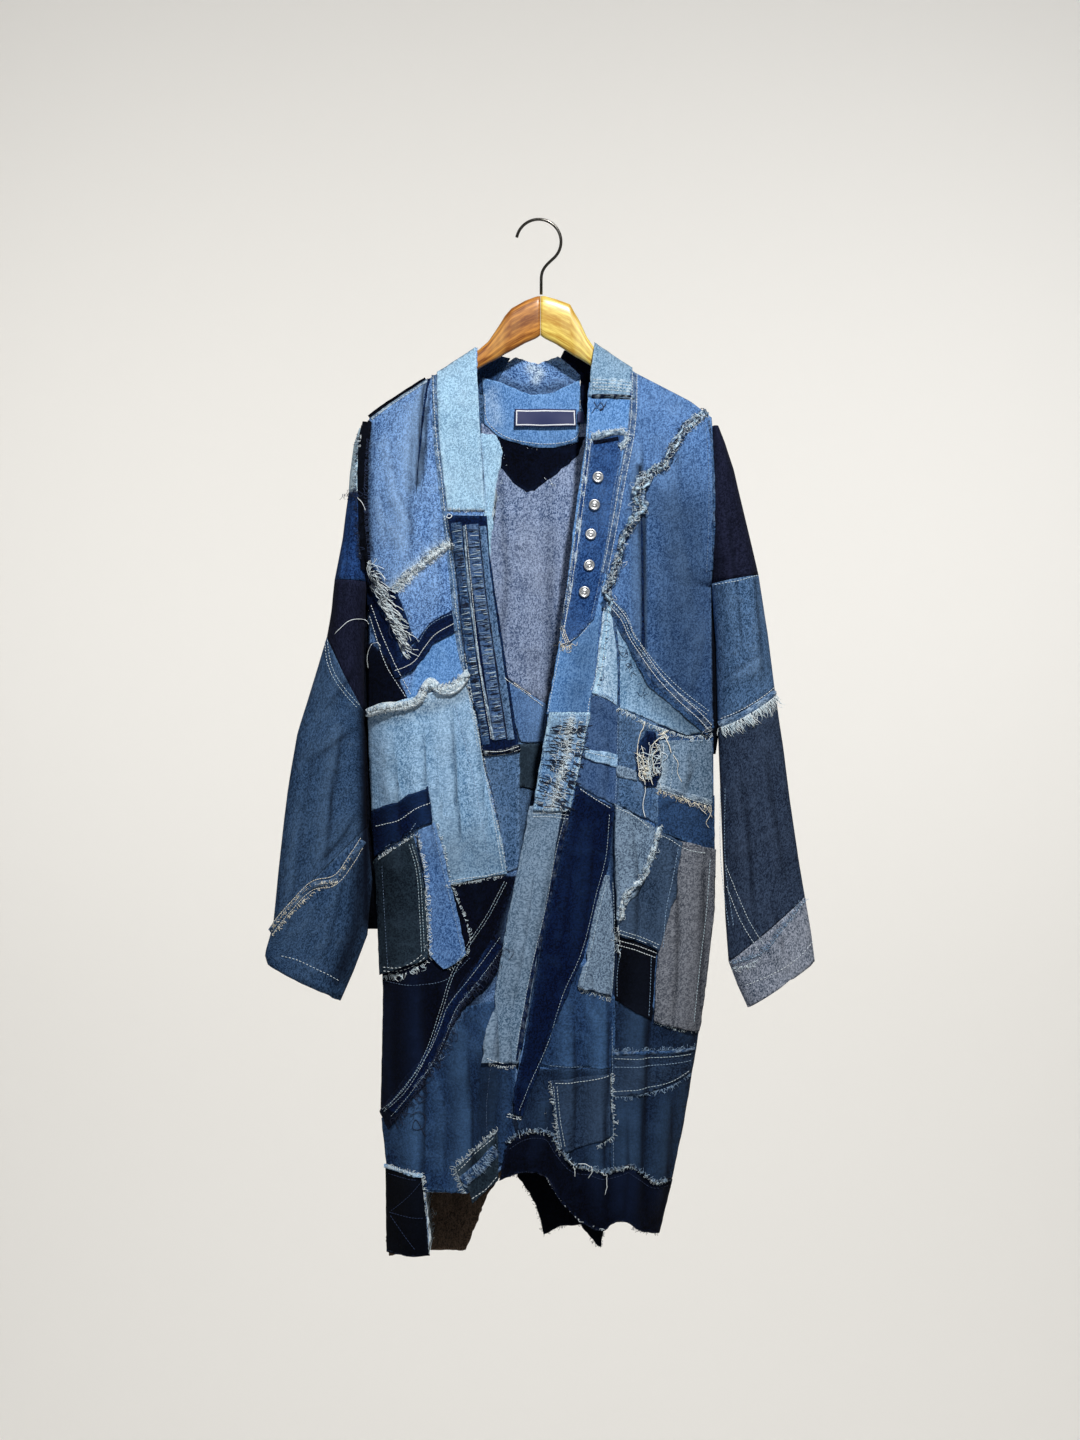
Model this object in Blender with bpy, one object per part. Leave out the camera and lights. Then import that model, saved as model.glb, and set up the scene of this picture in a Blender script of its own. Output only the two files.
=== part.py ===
"""A long patched denim coat, open in front, hanging on a two-armed wooden hanger by its wire hook.

The coat hangs in the plane Y = 0. Its front faces -Y, +Z is up, and the origin is the inner top of
the hook. Tables are in millimetres, and the meshes are made in metres.

Every flat piece is an outline on one of two cloth surfaces, the front and the back. An outline is a
table of lines across the piece, each from a point on its left edge to a point on its right edge.
All pieces are cut along the same grid, so a patch has the facets of what it lies on, moved out.
"""
import math
from collections import namedtuple

import bmesh
import bpy
from mathutils import Matrix, Vector

for old in list(bpy.data.objects):
    bpy.data.objects.remove(old, do_unlink=True)

MM = 0.001
CLOTH = 1.2                 # thickness of one layer of denim
SEAM = 0.3                  # gap between neighbouring pieces
LAYER = CLOTH + SEAM        # from one layer's inner face to the next
WRAP = 2 * LAYER + 0.6      # how far the right front is carried out over the left one
SIDE = 999.0                # in an outline, x = SIDE or -SIDE stands for the side seam
TOP = 0.0                   # and z = TOP for the shoulder line

Across = namedtuple("Across", "x1 z1 x2 z2")        # a line across a flat piece
Ring = namedtuple("Ring", "out_x out_z in_x in_z")  # a line across a sleeve, outer edge to inner edge
Fold = namedtuple("Fold", "x1 z1 x2 z2 half_width height")
Station = namedtuple("Station", "x top bottom")     # a section across a hanger arm

# ---------------------------------------------------------------- the coat's outline and depth

LEFT_EDGE = [(-1240, -180), (-1134, -181), (-1067, -188), (-928, -185), (-809, -189), (-707, -198),
             (-588, -203), (-407, -206), (-240, -204), (-150, -204)]           # (z, x)
RIGHT_EDGE = [(-1240, 136), (-1148, 158), (-1081, 172), (-991, 187), (-953, 193), (-827, 207),
              (-754, 209), (-575, 208), (-440, 206), (-236, 207), (-150, 207)]
SHOULDER = [(-210, -242), (-167, -211), (-125, -186), (-73, -152), (-40, -130), (0, -118),
            (38, -130), (64, -149), (115, -183), (181, -217), (212, -240)]     # (x, z)
FRONT_DEPTH = [(-1240, 38), (-1000, 43), (-700, 40), (-400, 34), (-150, 32)]   # (z, y)
BACK_DEPTH = [(-1240, 30), (-1000, 33), (-600, 30), (-300, 28), (-150, 28)]
SIDE_ROUND = 62             # how far in from the side seam the cloth is still rounding
SHOULDER_ROUND = 70         # and how far down from the shoulder seam
ARM_TOP, ARM_BOTTOM, ARM_OPEN = -240, -437, 0.88   # the armholes, and how open they stand

FRONT_FOLDS = [
    Fold(-134, -185, -142, -330, 20, 7), Fold(115, -215, 128, -545, 20, 7),        # shoulder pleats
    Fold(168, -300, 176, -560, 26, 5), Fold(-112, -600, -104, -780, 24, 6),
    Fold(-146, -880, -140, -1240, 26, 7), Fold(-74, -1010, -82, -1240, 26, 5),
    Fold(122, -860, 112, -1240, 28, 8), Fold(60, -1010, 64, -1240, 24, 5),
]
BACK_FOLDS = [
    Fold(0, -240, 0, -1240, 30, 6), Fold(-104, -420, -110, -1240, 28, 7),
    Fold(122, -420, 110, -1240, 28, 7), Fold(-150, -700, -142, -1240, 22, 4),
]


def along(table, at):
    """The table's value at a place, on straight lines between its rows."""
    if at <= table[0][0]:
        return table[0][1]
    for (a, low), (b, high) in zip(table, table[1:]):
        if at <= b:
            return low + (high - low) * (at - a) / (b - a)
    return table[-1][1]


def armhole(z):
    """How open the armhole stands at a height: 0 closed, 1 as deep as the coat."""
    middle, half = (ARM_TOP + ARM_BOTTOM) / 2, (ARM_TOP - ARM_BOTTOM) / 2
    return ARM_OPEN * math.sqrt(max(0.0, 1 - ((z - middle) / half) ** 2))


def rounding(distance, reach, power):
    return 1 - (1 - min(distance / reach, 1)) ** power


def folds(table, x, z):
    """The height of the folds at a place: each is a soft ridge that fades out at its ends."""
    total = 0.0
    for f in table:
        down = (f.z1 - z) / (f.z1 - f.z2)
        if -0.1 < down < 1.1:
            aside = abs(x - f.x1 - (f.x2 - f.x1) * down) / f.half_width
            fade = min(1.0, (down + 0.1) / 0.2, (1.1 - down) / 0.2)
            total += f.height * fade * max(0.0, 1 - aside) * (1.3 - 0.3 * aside)
    return total


def depth(side, x, z):
    """How far the cloth of one side stands out from the middle plane."""
    front = side == "front"
    full = along(FRONT_DEPTH if front else BACK_DEPTH, z)
    edge = min(x - along(LEFT_EDGE, z), along(RIGHT_EDGE, z) - x)
    closed = (1 - armhole(z)) * (1 - rounding(edge, SIDE_ROUND, 2.4))
    shape = (1 - closed) * rounding(along(SHOULDER, x) - z, SHOULDER_ROUND, 3.0)
    return SEAM / 2 + shape * (full + folds(FRONT_FOLDS if front else BACK_FOLDS, x, z))


# ------------------------------------------------------------------------- the cutting grid

SHARES = [0, 0.05, 0.12, 0.165, 0.22, 0.33, 0.46, 0.59, 0.7, 0.785, 0.84, 0.9, 0.955, 1]
DROPS = [0, 14, 38, 80, 135, 200, 270, 360, 455, 550, 645, 740, 835, 930, 1020, 1110]
LEVEL_Z = -128              # below the shoulders a grid line lies level, at LEVEL_Z minus its drop
LEVEL_FROM = 270            # the drop from which it does
COLUMNS, ROWS = len(SHARES) - 1, len(DROPS) - 1


def height_of(x, drop):
    fade = max(0.0, 1 - drop / LEVEL_FROM)
    return LEVEL_Z - drop + fade * (along(SHOULDER, x) - LEVEL_Z)


def place_on(lines, value):
    """A value as a place among the grid's lines: 2.5 is halfway from line 2 to line 3."""
    for i, (a, b) in enumerate(zip(lines, lines[1:])):
        if value <= b or i == len(lines) - 2:
            return i + (value - a) / (b - a)


def grid_place(x, z):
    """Where a point of the front view lies on the grid, held inside the coat's outline."""
    left, right = along(LEFT_EDGE, z), along(RIGHT_EDGE, z)
    x = min(max(x, left), right)
    low, high = 0.0, DROPS[-1] * 1.1
    for _ in range(40):
        middle = (low + high) / 2
        low, high = (middle, high) if height_of(x, middle) > z else (low, middle)
    u, v = place_on(SHARES, (x - left) / (right - left)), place_on(DROPS, low)
    return Vector((min(max(u, 0), COLUMNS), min(max(v, 0), ROWS), 0))


def node_xz(column, row):
    """Where a grid node lies in the front view."""
    z = LEVEL_Z - DROPS[row]
    for _ in range(12):
        left, right = along(LEFT_EDGE, z), along(RIGHT_EDGE, z)
        x = left + (right - left) * SHARES[column]
        z = height_of(x, DROPS[row])
    return x, z


def node_points(side):
    """Each grid node's point on a cloth surface, and the direction out of the coat there."""
    out, reach = (-1 if side == "front" else 1), 2.0
    found = {}
    for column in range(COLUMNS + 1):
        for row in range(ROWS + 1):
            x, z = node_xz(column, row)
            inside_x = min(max(x, along(LEFT_EDGE, z) + reach), along(RIGHT_EDGE, z) - reach)
            inside_z = min(z, along(SHOULDER, x) - reach)
            slope_x = (depth(side, inside_x + reach, inside_z)
                       - depth(side, inside_x - reach, inside_z)) / (2 * reach)
            slope_z = (depth(side, inside_x, inside_z + reach)
                       - depth(side, inside_x, inside_z - reach)) / (2 * reach)
            steep = min(1.0, 1.5 / max(1e-6, math.hypot(slope_x, slope_z)))
            normal = Vector((-slope_x * steep, out, -slope_z * steep)).normalized()
            found[column, row] = (Vector((x, out * depth(side, x, z), z)), normal)
    return found


SURFACES = {side: node_points(side) for side in ("front", "back")}


def lift(side, u, v, offset):
    """The point at a grid place, moved out by offset(x), on the flat facets between the nodes."""
    column, row = min(int(u), COLUMNS - 1), min(int(v), ROWS - 1)
    a, b = u - column, v - row
    corners = [((0, 0), 1 - max(a, b)), ((1, 1), min(a, b)),
               ((1, 0) if a > b else (0, 1), abs(a - b))]
    point = Vector((0, 0, 0))
    for (i, j), share in corners:
        base, normal = SURFACES[side][column + i, row + j]
        point += share * (base + normal * offset(base.x))
    return point


def offsets(layer, wrapped):
    """Two functions of x: how far a layer's inner and outer faces lie from the surface."""
    def carried(x):
        return WRAP * min(1.0, max(0.0, (70 - x) / 70)) if wrapped else 0.0
    return (lambda x: layer * LAYER + carried(x)), (lambda x: layer * LAYER + CLOTH + carried(x))


# ------------------------------------------------------------------------------- making pieces

coat = bpy.data.collections.new("patched_coat")
bpy.context.scene.collection.children.link(coat)


def finish_of(name, colour, roughness=0.9, metallic=0.0):
    material = bpy.data.materials.new(name)
    material.use_nodes = True
    shader = material.node_tree.nodes["Principled BSDF"]
    shader.inputs["Base Color"].default_value = (*colour, 1)
    shader.inputs["Roughness"].default_value = roughness
    shader.inputs["Metallic"].default_value = metallic
    material.diffuse_color = (*colour, 1)
    return material


FINISHES = {
    "denim_light": finish_of("denim_light", (0.24, 0.40, 0.52)),
    "denim_mid": finish_of("denim_mid", (0.10, 0.20, 0.36)),
    "denim_dark": finish_of("denim_dark", (0.035, 0.07, 0.16)),
    "denim_navy": finish_of("denim_navy", (0.012, 0.02, 0.06)),
    "denim_grey": finish_of("denim_grey", (0.16, 0.19, 0.24)),
    "denim_black": finish_of("denim_black", (0.012, 0.014, 0.022)),
    "wood_red": finish_of("wood_red", (0.42, 0.19, 0.07), 0.5),
    "wood_honey": finish_of("wood_honey", (0.55, 0.31, 0.10), 0.5),
    "steel": finish_of("steel", (0.3, 0.3, 0.3), 0.3, 1.0),
    "zinc": finish_of("zinc", (0.6, 0.61, 0.63), 0.35, 1.0),
    "woven_label": finish_of("woven_label", (0.02, 0.03, 0.10), 0.7),
}


def add_object(name, bm, finish):
    """Puts a bmesh in millimetres into the scene as an object in metres."""
    bmesh.ops.scale(bm, vec=(MM, MM, MM), verts=bm.verts)
    bmesh.ops.recalc_face_normals(bm, faces=bm.faces)
    if bm.calc_volume(signed=True) < 0:
        bmesh.ops.reverse_faces(bm, faces=bm.faces)
    mesh = bpy.data.meshes.new(name)
    bm.to_mesh(mesh)
    bm.free()
    mesh.materials.append(FINISHES[finish])
    made = bpy.data.objects.new(name, mesh)
    coat.objects.link(made)
    return made


def settled(x, z):
    """An outline point with SIDE and TOP replaced by where the side seam and shoulder line are."""
    if abs(x) == SIDE:
        x = along(LEFT_EDGE if x < 0 else RIGHT_EDGE, min(z, ARM_TOP))
    return x, along(SHOULDER, x) if z == TOP else z


def outline_of(lines):
    """The grid places round a piece, with points where its edge bends on the grid."""
    corners = [(r.x1, r.z1) for r in lines] + [(r.x2, r.z2) for r in reversed(lines)]
    places = []
    for a, b in zip(corners, corners[1:] + corners[:1]):
        (x1, z1), (x2, z2) = settled(*a), settled(*b)
        on_edge = (a[0] == b[0] and abs(a[0]) == SIDE) or (a[1] == b[1] == TOP)
        steps = 1 if on_edge else max(1, math.ceil(math.hypot(x2 - x1, z2 - z1) / 45))
        for i in range(steps):
            place = grid_place(x1 + (x2 - x1) * i / steps, z1 + (z2 - z1) * i / steps)
            if not places or (place - places[-1]).length > 0.004:
                places.append(place)
    kept = []
    for before, at, after in zip(places[-1:] + places[:-1], places, places[1:] + places[:1]):
        ahead, back = after - at, at - before
        if (ahead.cross(back)).length > 0.01 * ahead.length * back.length or ahead.dot(back) < 0:
            kept.append(at)
    return kept


def cut_flat(lines):
    """A piece's outline as one flat face, cut along the grid's lines and diagonals."""
    bm = bmesh.new()
    bm.faces.new([bm.verts.new(p) for p in outline_of(lines)])
    cuts = [((i, 0, 0), (1, 0, 0)) for i in range(1, COLUMNS)]
    cuts += [((0, j, 0), (0, 1, 0)) for j in range(1, ROWS)]
    cuts += [((k, 0, 0), (1, -1, 0)) for k in range(1 - ROWS, COLUMNS)]
    for place, normal in cuts:
        bmesh.ops.bisect_plane(bm, geom=bm.verts[:] + bm.edges[:] + bm.faces[:], dist=1e-5,
                               plane_co=place, plane_no=normal)
    bmesh.ops.remove_doubles(bm, verts=bm.verts, dist=0.002)
    return bm


def thicken(flat, inner, outer):
    """A closed solid between two lifts of a flat mesh: its two faces and a wall round its edge."""
    solid = bmesh.new()
    flat.verts.index_update()
    low = [solid.verts.new(inner(v)) for v in flat.verts]
    high = [solid.verts.new(outer(v)) for v in flat.verts]
    for face in flat.faces:
        loop = [v.index for v in face.verts]
        solid.faces.new([high[i] for i in loop])
        solid.faces.new([low[i] for i in reversed(loop)])
    for edge in flat.edges:
        if edge.is_boundary:
            loop = edge.link_loops[0]
            a, b = loop.vert.index, loop.link_loop_next.vert.index
            solid.faces.new([high[b], high[a], low[a], low[b]])
    flat.free()
    return solid


def cloth_piece(name, side, layer, finish, lines, wrapped=False):
    inner, outer = offsets(layer, wrapped)
    flat = cut_flat(lines)
    solid = thicken(flat, lambda v: lift(side, v.co.x, v.co.y, inner),
                    lambda v: lift(side, v.co.x, v.co.y, outer))
    return add_object(name, solid, finish)


# ---------------------------------------------------------------------------- the flat pieces

FRONT_LEFT = [Across(-SIDE, TOP, -74, TOP), Across(-SIDE, -263, -72, -263), Across(-SIDE, -350, -66, -350),
              Across(-SIDE, -407, -60, -407), Across(-SIDE, -635, -25, -635),
              Across(-SIDE, -760, -25, -760), Across(-SIDE, -1120, -27, -1120),
              Across(-SIDE, -1150, -83, -1157), Across(-SIDE, -1160, -134, -1156),
              Across(-SIDE, -1234, -130, -1231)]
FRONT_RIGHT = [Across(66, TOP, SIDE, TOP), Across(61, -220, SIDE, -225), Across(43, -368, SIDE, -368),
               Across(10, -599, SIDE, -599), Across(-9, -713, SIDE, -713),
               Across(-35, -839, SIDE, -839), Across(-20, -983, SIDE, -983),
               Across(-36, -1062, SIDE, -1062), Across(-12, -1130, SIDE, -1130),
               Across(14, -1146, 157, -1146), Across(45, -1190, 146, -1196), Across(62, -1202, 142, -1206)]
BACK_LEFT, BACK_RIGHT = -206, 208      # where the back's seam lines reach the side seams
NECK_SEAM = [(BACK_LEFT, TOP), (-76, TOP), (-68, -177), (-56, -190), (-41, -204), (-11, -212),
             (20, -210), (38, -204), (54, -190), (66, -178), (76, TOP), (BACK_RIGHT, TOP)]
BACK_SEAM_HIGH = [(BACK_LEFT, -500), (-42, -546), (8, -581), (60, -600), (BACK_RIGHT, -600)]
BACK_SEAM_LOW = [(BACK_LEFT, -640), (-22, -626), (2, -625), (BACK_RIGHT, -662)]
BACK_SEAM_HEM = [(BACK_LEFT, -1050), (-26, -1066), (20, -1060), (BACK_RIGHT, -1040)]
HEM_SPLIT_X = -26           # where the left and right hem pieces of the back meet
HEM_LOW_LEFT = [(BACK_LEFT, -1234), (-88, -1235), (-66, -1163), (HEM_SPLIT_X, -1116)]
HEM_LOW_RIGHT = [(HEM_SPLIT_X, -1144), (6, -1216), (50, -1201), (72, -1226), (110, -1202),
                 (BACK_RIGHT, -1196)]


BACK_STATIONS = {x for line in (NECK_SEAM, BACK_SEAM_HIGH, BACK_SEAM_LOW, BACK_SEAM_HEM, HEM_LOW_LEFT,
                                HEM_LOW_RIGHT) for x, _ in line}


def between_lines(upper, lower, x_from=BACK_LEFT, x_to=BACK_RIGHT, gap=0.6 * SEAM):
    """A piece of the back between two seam lines, each a row of points from left to right."""
    lines = []
    for x in sorted({x_from, x_to} | {x for x in BACK_STATIONS if x_from < x < x_to}):
        at = {BACK_LEFT: -SIDE, BACK_RIGHT: SIDE}.get(x, x)
        top = along(upper, x)
        lines.append(Across(at, top - gap if top != TOP else TOP, at, along(lower, x) + gap))
    return lines


FLAT_PIECES = [
    # name, side, layer, finish, lines across, whether it wraps over the left front
    ("front_left", "front", 0, "denim_mid", FRONT_LEFT, False),
    ("front_right", "front", 0, "denim_mid", FRONT_RIGHT, True),
    ("back_upper", "back", 0, "denim_mid",
     between_lines(NECK_SEAM, BACK_SEAM_HIGH), False),
    ("back_middle", "back", 0, "denim_dark", between_lines(BACK_SEAM_HIGH, BACK_SEAM_LOW), False),
    ("back_lower", "back", 0, "denim_mid", between_lines(BACK_SEAM_LOW, BACK_SEAM_HEM), False),
    ("back_hem_left", "back", 0, "denim_black",
     between_lines(BACK_SEAM_HEM, HEM_LOW_LEFT, x_to=HEM_SPLIT_X - SEAM), False),
    ("back_hem_flap", "back", 0, "denim_black",
     between_lines(BACK_SEAM_HEM, HEM_LOW_RIGHT, x_from=HEM_SPLIT_X), False),
    ("neck_facing", "back", -1, "denim_light",
     [Across(-69, -199, -66, -241), Across(-44, -206, -44, -259), Across(-10, -214, -8, -268),
      Across(16, -212, 16, -269), Across(50, -202, 47, -262)], False),
    ("label", "back", -2, "woven_label",
     [Across(-30, -223, 45, -223), Across(-30, -244, 45, -244)], False),
    ("neck_stand", "back", 0, "denim_mid",
     [Across(-57, -181, -57, -185), Across(-41, -170, -41, -203.5), Across(-28, -164, -11, -211.5),
      Across(-1, -171, 5, -210.5), Across(23, -163, 20, -209.5), Across(38, -172, 38, -203.5),
      Across(51, -180, 51, -185)], False),

    ("band_left_upper", "front", 1, "denim_light",
     [Across(-121, TOP, -75, TOP), Across(-119, -263, -70, -263), Across(-109, -351, -64, -351)], False),
    ("band_left_waistband", "front", 3, "denim_dark",
     [Across(-108, -358, -62, -358), Across(-99, -407, -58, -407), Across(-86, -551, -36, -551),
      Across(-65, -641, -23, -635)], False),
    ("band_left_lower", "front", 1, "denim_dark",
     [Across(-66, -643, -23, -637), Across(-47, -720, -23, -716), Across(-40, -778, -24, -774)], False),
    ("band_right_top", "front", 2, "denim_light",
     [Across(64, TOP, 109, TOP), Across(59, -216, 112, -219)], True),
    ("band_right_mid", "front", 1, "denim_mid",
     [Across(59, -200, 111, -200), Across(55, -271, 107, -271), Across(41, -368, 88, -371),
      Across(29, -479, 72, -479), Across(9, -592, 60, -592)], True),
    ("band_right_smocked", "front", 2, "denim_light",
     [Across(12, -590, 61, -590), Across(-8, -706, 37, -706)], True),
    ("band_right_grey", "front", 1, "denim_grey",
     [Across(-11, -700, 29, -700), Across(-37, -839, 3, -839), Across(-58, -952, -14, -952),
      Across(-67, -1001, -25, -1004)], True),
    ("strip_navy_right", "front", 2, "denim_navy",
     [Across(44, -677, 89, -703), Across(28, -755, 84, -764), Across(19, -791, 74, -802),
      Across(1, -877, 53, -875), Across(-18, -983, 13, -977), Across(-24, -1008, 1, -1008),
      Across(-36, -1062, -20, -1066)], True),
    ("fly_placket", "front", 2, "denim_navy",
     [Across(63, -262, 102, -256), Across(54, -336, 92, -323), Across(46, -395, 84, -389),
      Across(41, -431, 77, -431), Across(29, -479, 65, -479), Across(25, -511, 38, -508)], True),

    ("curved_strip_left", "front", 2, "denim_navy",
     [Across(-101, -468, -95, -493), Across(-130, -484, -126, -510), Across(-144, -505, -136, -526),
      Across(-157, -521, -149, -541), Across(-174, -533, -169, -550)], False),
    ("patch_bright_left", "front", 1, "denim_mid",
     [Across(-128, -500, -90, -480), Across(-143, -530, -86, -521), Across(-157, -575, -76, -575)], False),
    ("panel_light_left", "front", 2, "denim_light",
     [Across(-SIDE, -588, -85, -553), Across(-SIDE, -647, -66, -649), Across(-SIDE, -707, -54, -704),
      Across(-124, -721, -43, -745), Across(-109, -794, -38, -780)], False),
    ("strip_slant_left", "front", 3, "denim_navy",
     [Across(-196, -708, -195, -764), Across(-167, -695, -163, -740), Across(-128, -677, -124, -716)],
     False),
    ("pocket_left", "front", 4, "denim_dark",
     [Across(-193, -767, -145, -733), Across(-188, -821, -131, -821), Across(-185, -904, -130, -881)],
     False),
    ("strip_blue_left", "front", 3, "denim_mid",
     [Across(-141, -729, -121, -719), Across(-134, -791, -104, -791), Across(-128, -877, -86, -875),
      Across(-112, -893, -107, -892)], False),
    ("panel_dark_left", "front", 1, "denim_navy",
     [Across(-107, -785, -26, -783), Across(-119, -875, -61, -881), Across(-SIDE, -900, -92, -917),
      Across(-SIDE, -959, -119, -977), Across(-SIDE, -1064, -178, -1062)], False),
    ("felled_band_left", "front", 2, "denim_dark",
     [Across(-50, -851, -38, -875), Across(-77, -887, -59, -911), Across(-110, -931, -92, -941),
      Across(-126, -980, -112, -985), Across(-163, -1032, -143, -1038), Across(-188, -1067, -176, -1087)],
     False),
    ("panel_lower_left", "front", 1, "denim_mid",
     [Across(-86, -937, -28, -925), Across(-116, -989, -28, -989), Across(-150, -1036, -28, -1031),
      Across(-SIDE, -1076, -28, -1088), Across(-SIDE, -1134, -32, -1112), Across(-134, -1155, -83, -1156)],
     False),
    ("waistband_hem_left", "front", 2, "denim_dark",
     [Across(-98, -1126, -79, -1170), Across(-48, -1082, -48, -1142)], False),
    ("corner_patch_left", "front", 2, "denim_black",
     [Across(-SIDE, -1134, -139, -1136), Across(-SIDE, -1187, -133, -1187),
      Across(-SIDE, -1236, -129, -1232)], False),

    ("curved_strip_right", "front", 2, "denim_dark",
     [Across(74, -466, 84, -457), Across(92, -478, 103, -470), Across(94, -496, 109, -490),
      Across(108, -520, 121, -511), Across(128, -558, 141, -549), Across(160, -586, 168, -574),
      Across(197, -618, 206, -607)], True),
    ("gusset_right", "front", 1, "denim_light",
     [Across(77, -462, 88, -467), Across(70, -515, 112, -512), Across(64, -568, 148, -565),
      Across(95, -584, 181, -592), Across(174, -617, 200, -613)], True),
    ("patch_ripped_right", "front", 1, "denim_grey",
     [Across(139, -623, 205, -623), Across(137, -676, 205, -698)], True),
    ("pocket_right", "front", 3, "denim_dark",
     [Across(89, -697, 168, -745), Across(91, -779, 160, -791), Across(94, -851, 144, -870)], True),
    ("patch_grey_right", "front", 2, "denim_grey",
     [Across(164, -742, SIDE, -754), Across(152, -817, SIDE, -827), Across(141, -877, 200, -889),
      Across(136, -954, 188, -971)], True),
    ("pocket_black_right", "front", 1, "denim_black",
     [Across(94, -853, 139, -870), Across(90, -929, 133, -954)], True),
    ("patch_triangle_right", "front", 3, "denim_light",
     [Across(78, -782, 84, -782), Across(67, -821, 88, -821), Across(61, -851, 90, -857),
      Across(47, -913, 86, -926)], True),
    ("patch_mottled_right", "front", 1, "denim_dark",
     [Across(14, -1024, 84, -1015), Across(25, -1109, 85, -1091)], True),
    ("band_mottled_right", "front", 1, "denim_dark",
     [Across(85, -991, 88, -1043), Across(136, -990, 128, -1038), Across(185, -991, 179, -1021)], True),
    ("hem_right", "front", 1, "denim_navy",
     [Across(-38, -1100, -48, -1150), Across(-12, -1092, -7, -1139), Across(12, -1098, 12, -1150),
      Across(43, -1132, 31, -1184), Across(61, -1134, 60, -1206), Across(85, -1136, 78, -1210),
      Across(98, -1129, 97, -1199), Across(130, -1144, 121, -1211), Across(157, -1148, 143, -1214)], True),

    ("back_patch_light", "back", 1, "denim_light",
     [Across(-150, -560, -30, -548), Across(-146, -700, -34, -712)], False),
    ("back_pocket", "back", 1, "denim_dark",
     [Across(44, -724, 150, -716), Across(46, -850, 150, -846), Across(96, -876, 100, -876)], False),
]

# ---------------------------------------------------------------------------------- the sleeves

AROUND = 14                 # points round a sleeve
ARMHOLE_GAP = 1.35          # from the body's edge line to the sleeve, which leaves about SEAM between
LEFT_SLEEVE = [             # a name starts a new piece at that ring; SIDE is the armhole's edge
    ("cap", Ring(-215, -250, -SIDE, -250)), (None, Ring(-221, -270, -SIDE, -271)),
    (None, Ring(-226, -305, -SIDE, -308)), ("upper", Ring(-227, -328, -SIDE, -331)),
    (None, Ring(-234, -383, -SIDE, -386)), ("navy", Ring(-244, -432, -SIDE, -434)),
    (None, Ring(-252, -503, -211, -508)), ("lower", Ring(-273, -559, -209, -575)),
    (None, Ring(-289, -616, -209, -623)), (None, Ring(-301, -686, -209, -665)),
    (None, Ring(-309, -755, -208, -695)), ("cuff", Ring(-318, -839, -207, -728)),
    (None, Ring(-322, -857, -201, -791)), (None, Ring(-327, -875, -207, -857)),
    (None, Ring(-328, -882, -224, -901)), (None, Ring(-325, -892, -239, -935))]
RIGHT_SLEEVE = [
    ("top", Ring(214, -247, SIDE, -247)), (None, Ring(222, -268, SIDE, -271)),
    (None, Ring(232, -299, SIDE, -304)), (None, Ring(241, -336, SIDE, -344)),
    (None, Ring(252, -383, SIDE, -392)), ("mid", Ring(262, -426, SIDE, -436)),
    (None, Ring(273, -494, 213, -509)), ("slub", Ring(282, -564, 215, -604)),
    (None, Ring(293, -641, 218, -677)), (None, Ring(303, -719, 221, -755)),
    (None, Ring(312, -776, 224, -833)), ("cuff", Ring(318, -811, 228, -888)),
    (None, Ring(325, -851, 239, -917)), (None, Ring(330, -889, 251, -943))]
SLEEVE_FRONT = [(-950, 20), (-800, 22), (-620, 25), (-500, 31), (-430, 33)]    # (z, y) below the armhole
SLEEVE_BACK = [(-950, 18), (-800, 19), (-620, 20), (-500, 24), (-430, 26)]


def sleeve_ring(ring, side, thickness):
    """The points round one ring, from the front edge of its seam or armhole to the back edge."""
    edge = LEFT_EDGE if side < 0 else RIGHT_EDGE
    at_armhole = abs(ring.in_x) == SIDE
    in_x = along(edge, ring.in_z) + side * ARMHOLE_GAP if at_armhole else ring.in_x
    inner, outer = Vector((in_x, 0, ring.in_z)), Vector((ring.out_x, 0, ring.out_z))
    across = outer - inner
    rise = rounding(along(SHOULDER, in_x) - ring.in_z, SHOULDER_ROUND, 3.0)
    upper = min(1.0, max(0.0, (ring.in_z + 560) / 120))
    reach = [upper * along(a, ring.in_z) * rise + (1 - upper) * along(b, ring.in_z)
             for a, b in ((FRONT_DEPTH, SLEEVE_FRONT), (BACK_DEPTH, SLEEVE_BACK))]
    opened = max(armhole(ring.in_z) if at_armhole else 0.0, 0.4 / min(reach))
    half = across.length / (1 + math.sqrt(1 - opened ** 2))
    middle, away = outer - across.normalized() * half, across.normalized()
    start, points = math.asin(opened), []
    for i in range(AROUND + 1):
        angle = start + (2 * math.pi - 2 * start) * i / AROUND
        deep = reach[0] if angle < math.pi else reach[1]
        normal = Vector((-math.cos(angle) / half, math.sin(angle) / deep, 0)).normalized()
        if at_armhole and i in (0, AROUND):
            normal = Vector((0, math.copysign(1, math.sin(angle)), 0))
        a = -half * math.cos(angle) + normal.x * thickness
        b = deep * math.sin(angle) + normal.y * thickness
        points.append(middle + away * a + Vector((0, -b, 0)))
    return points


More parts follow.
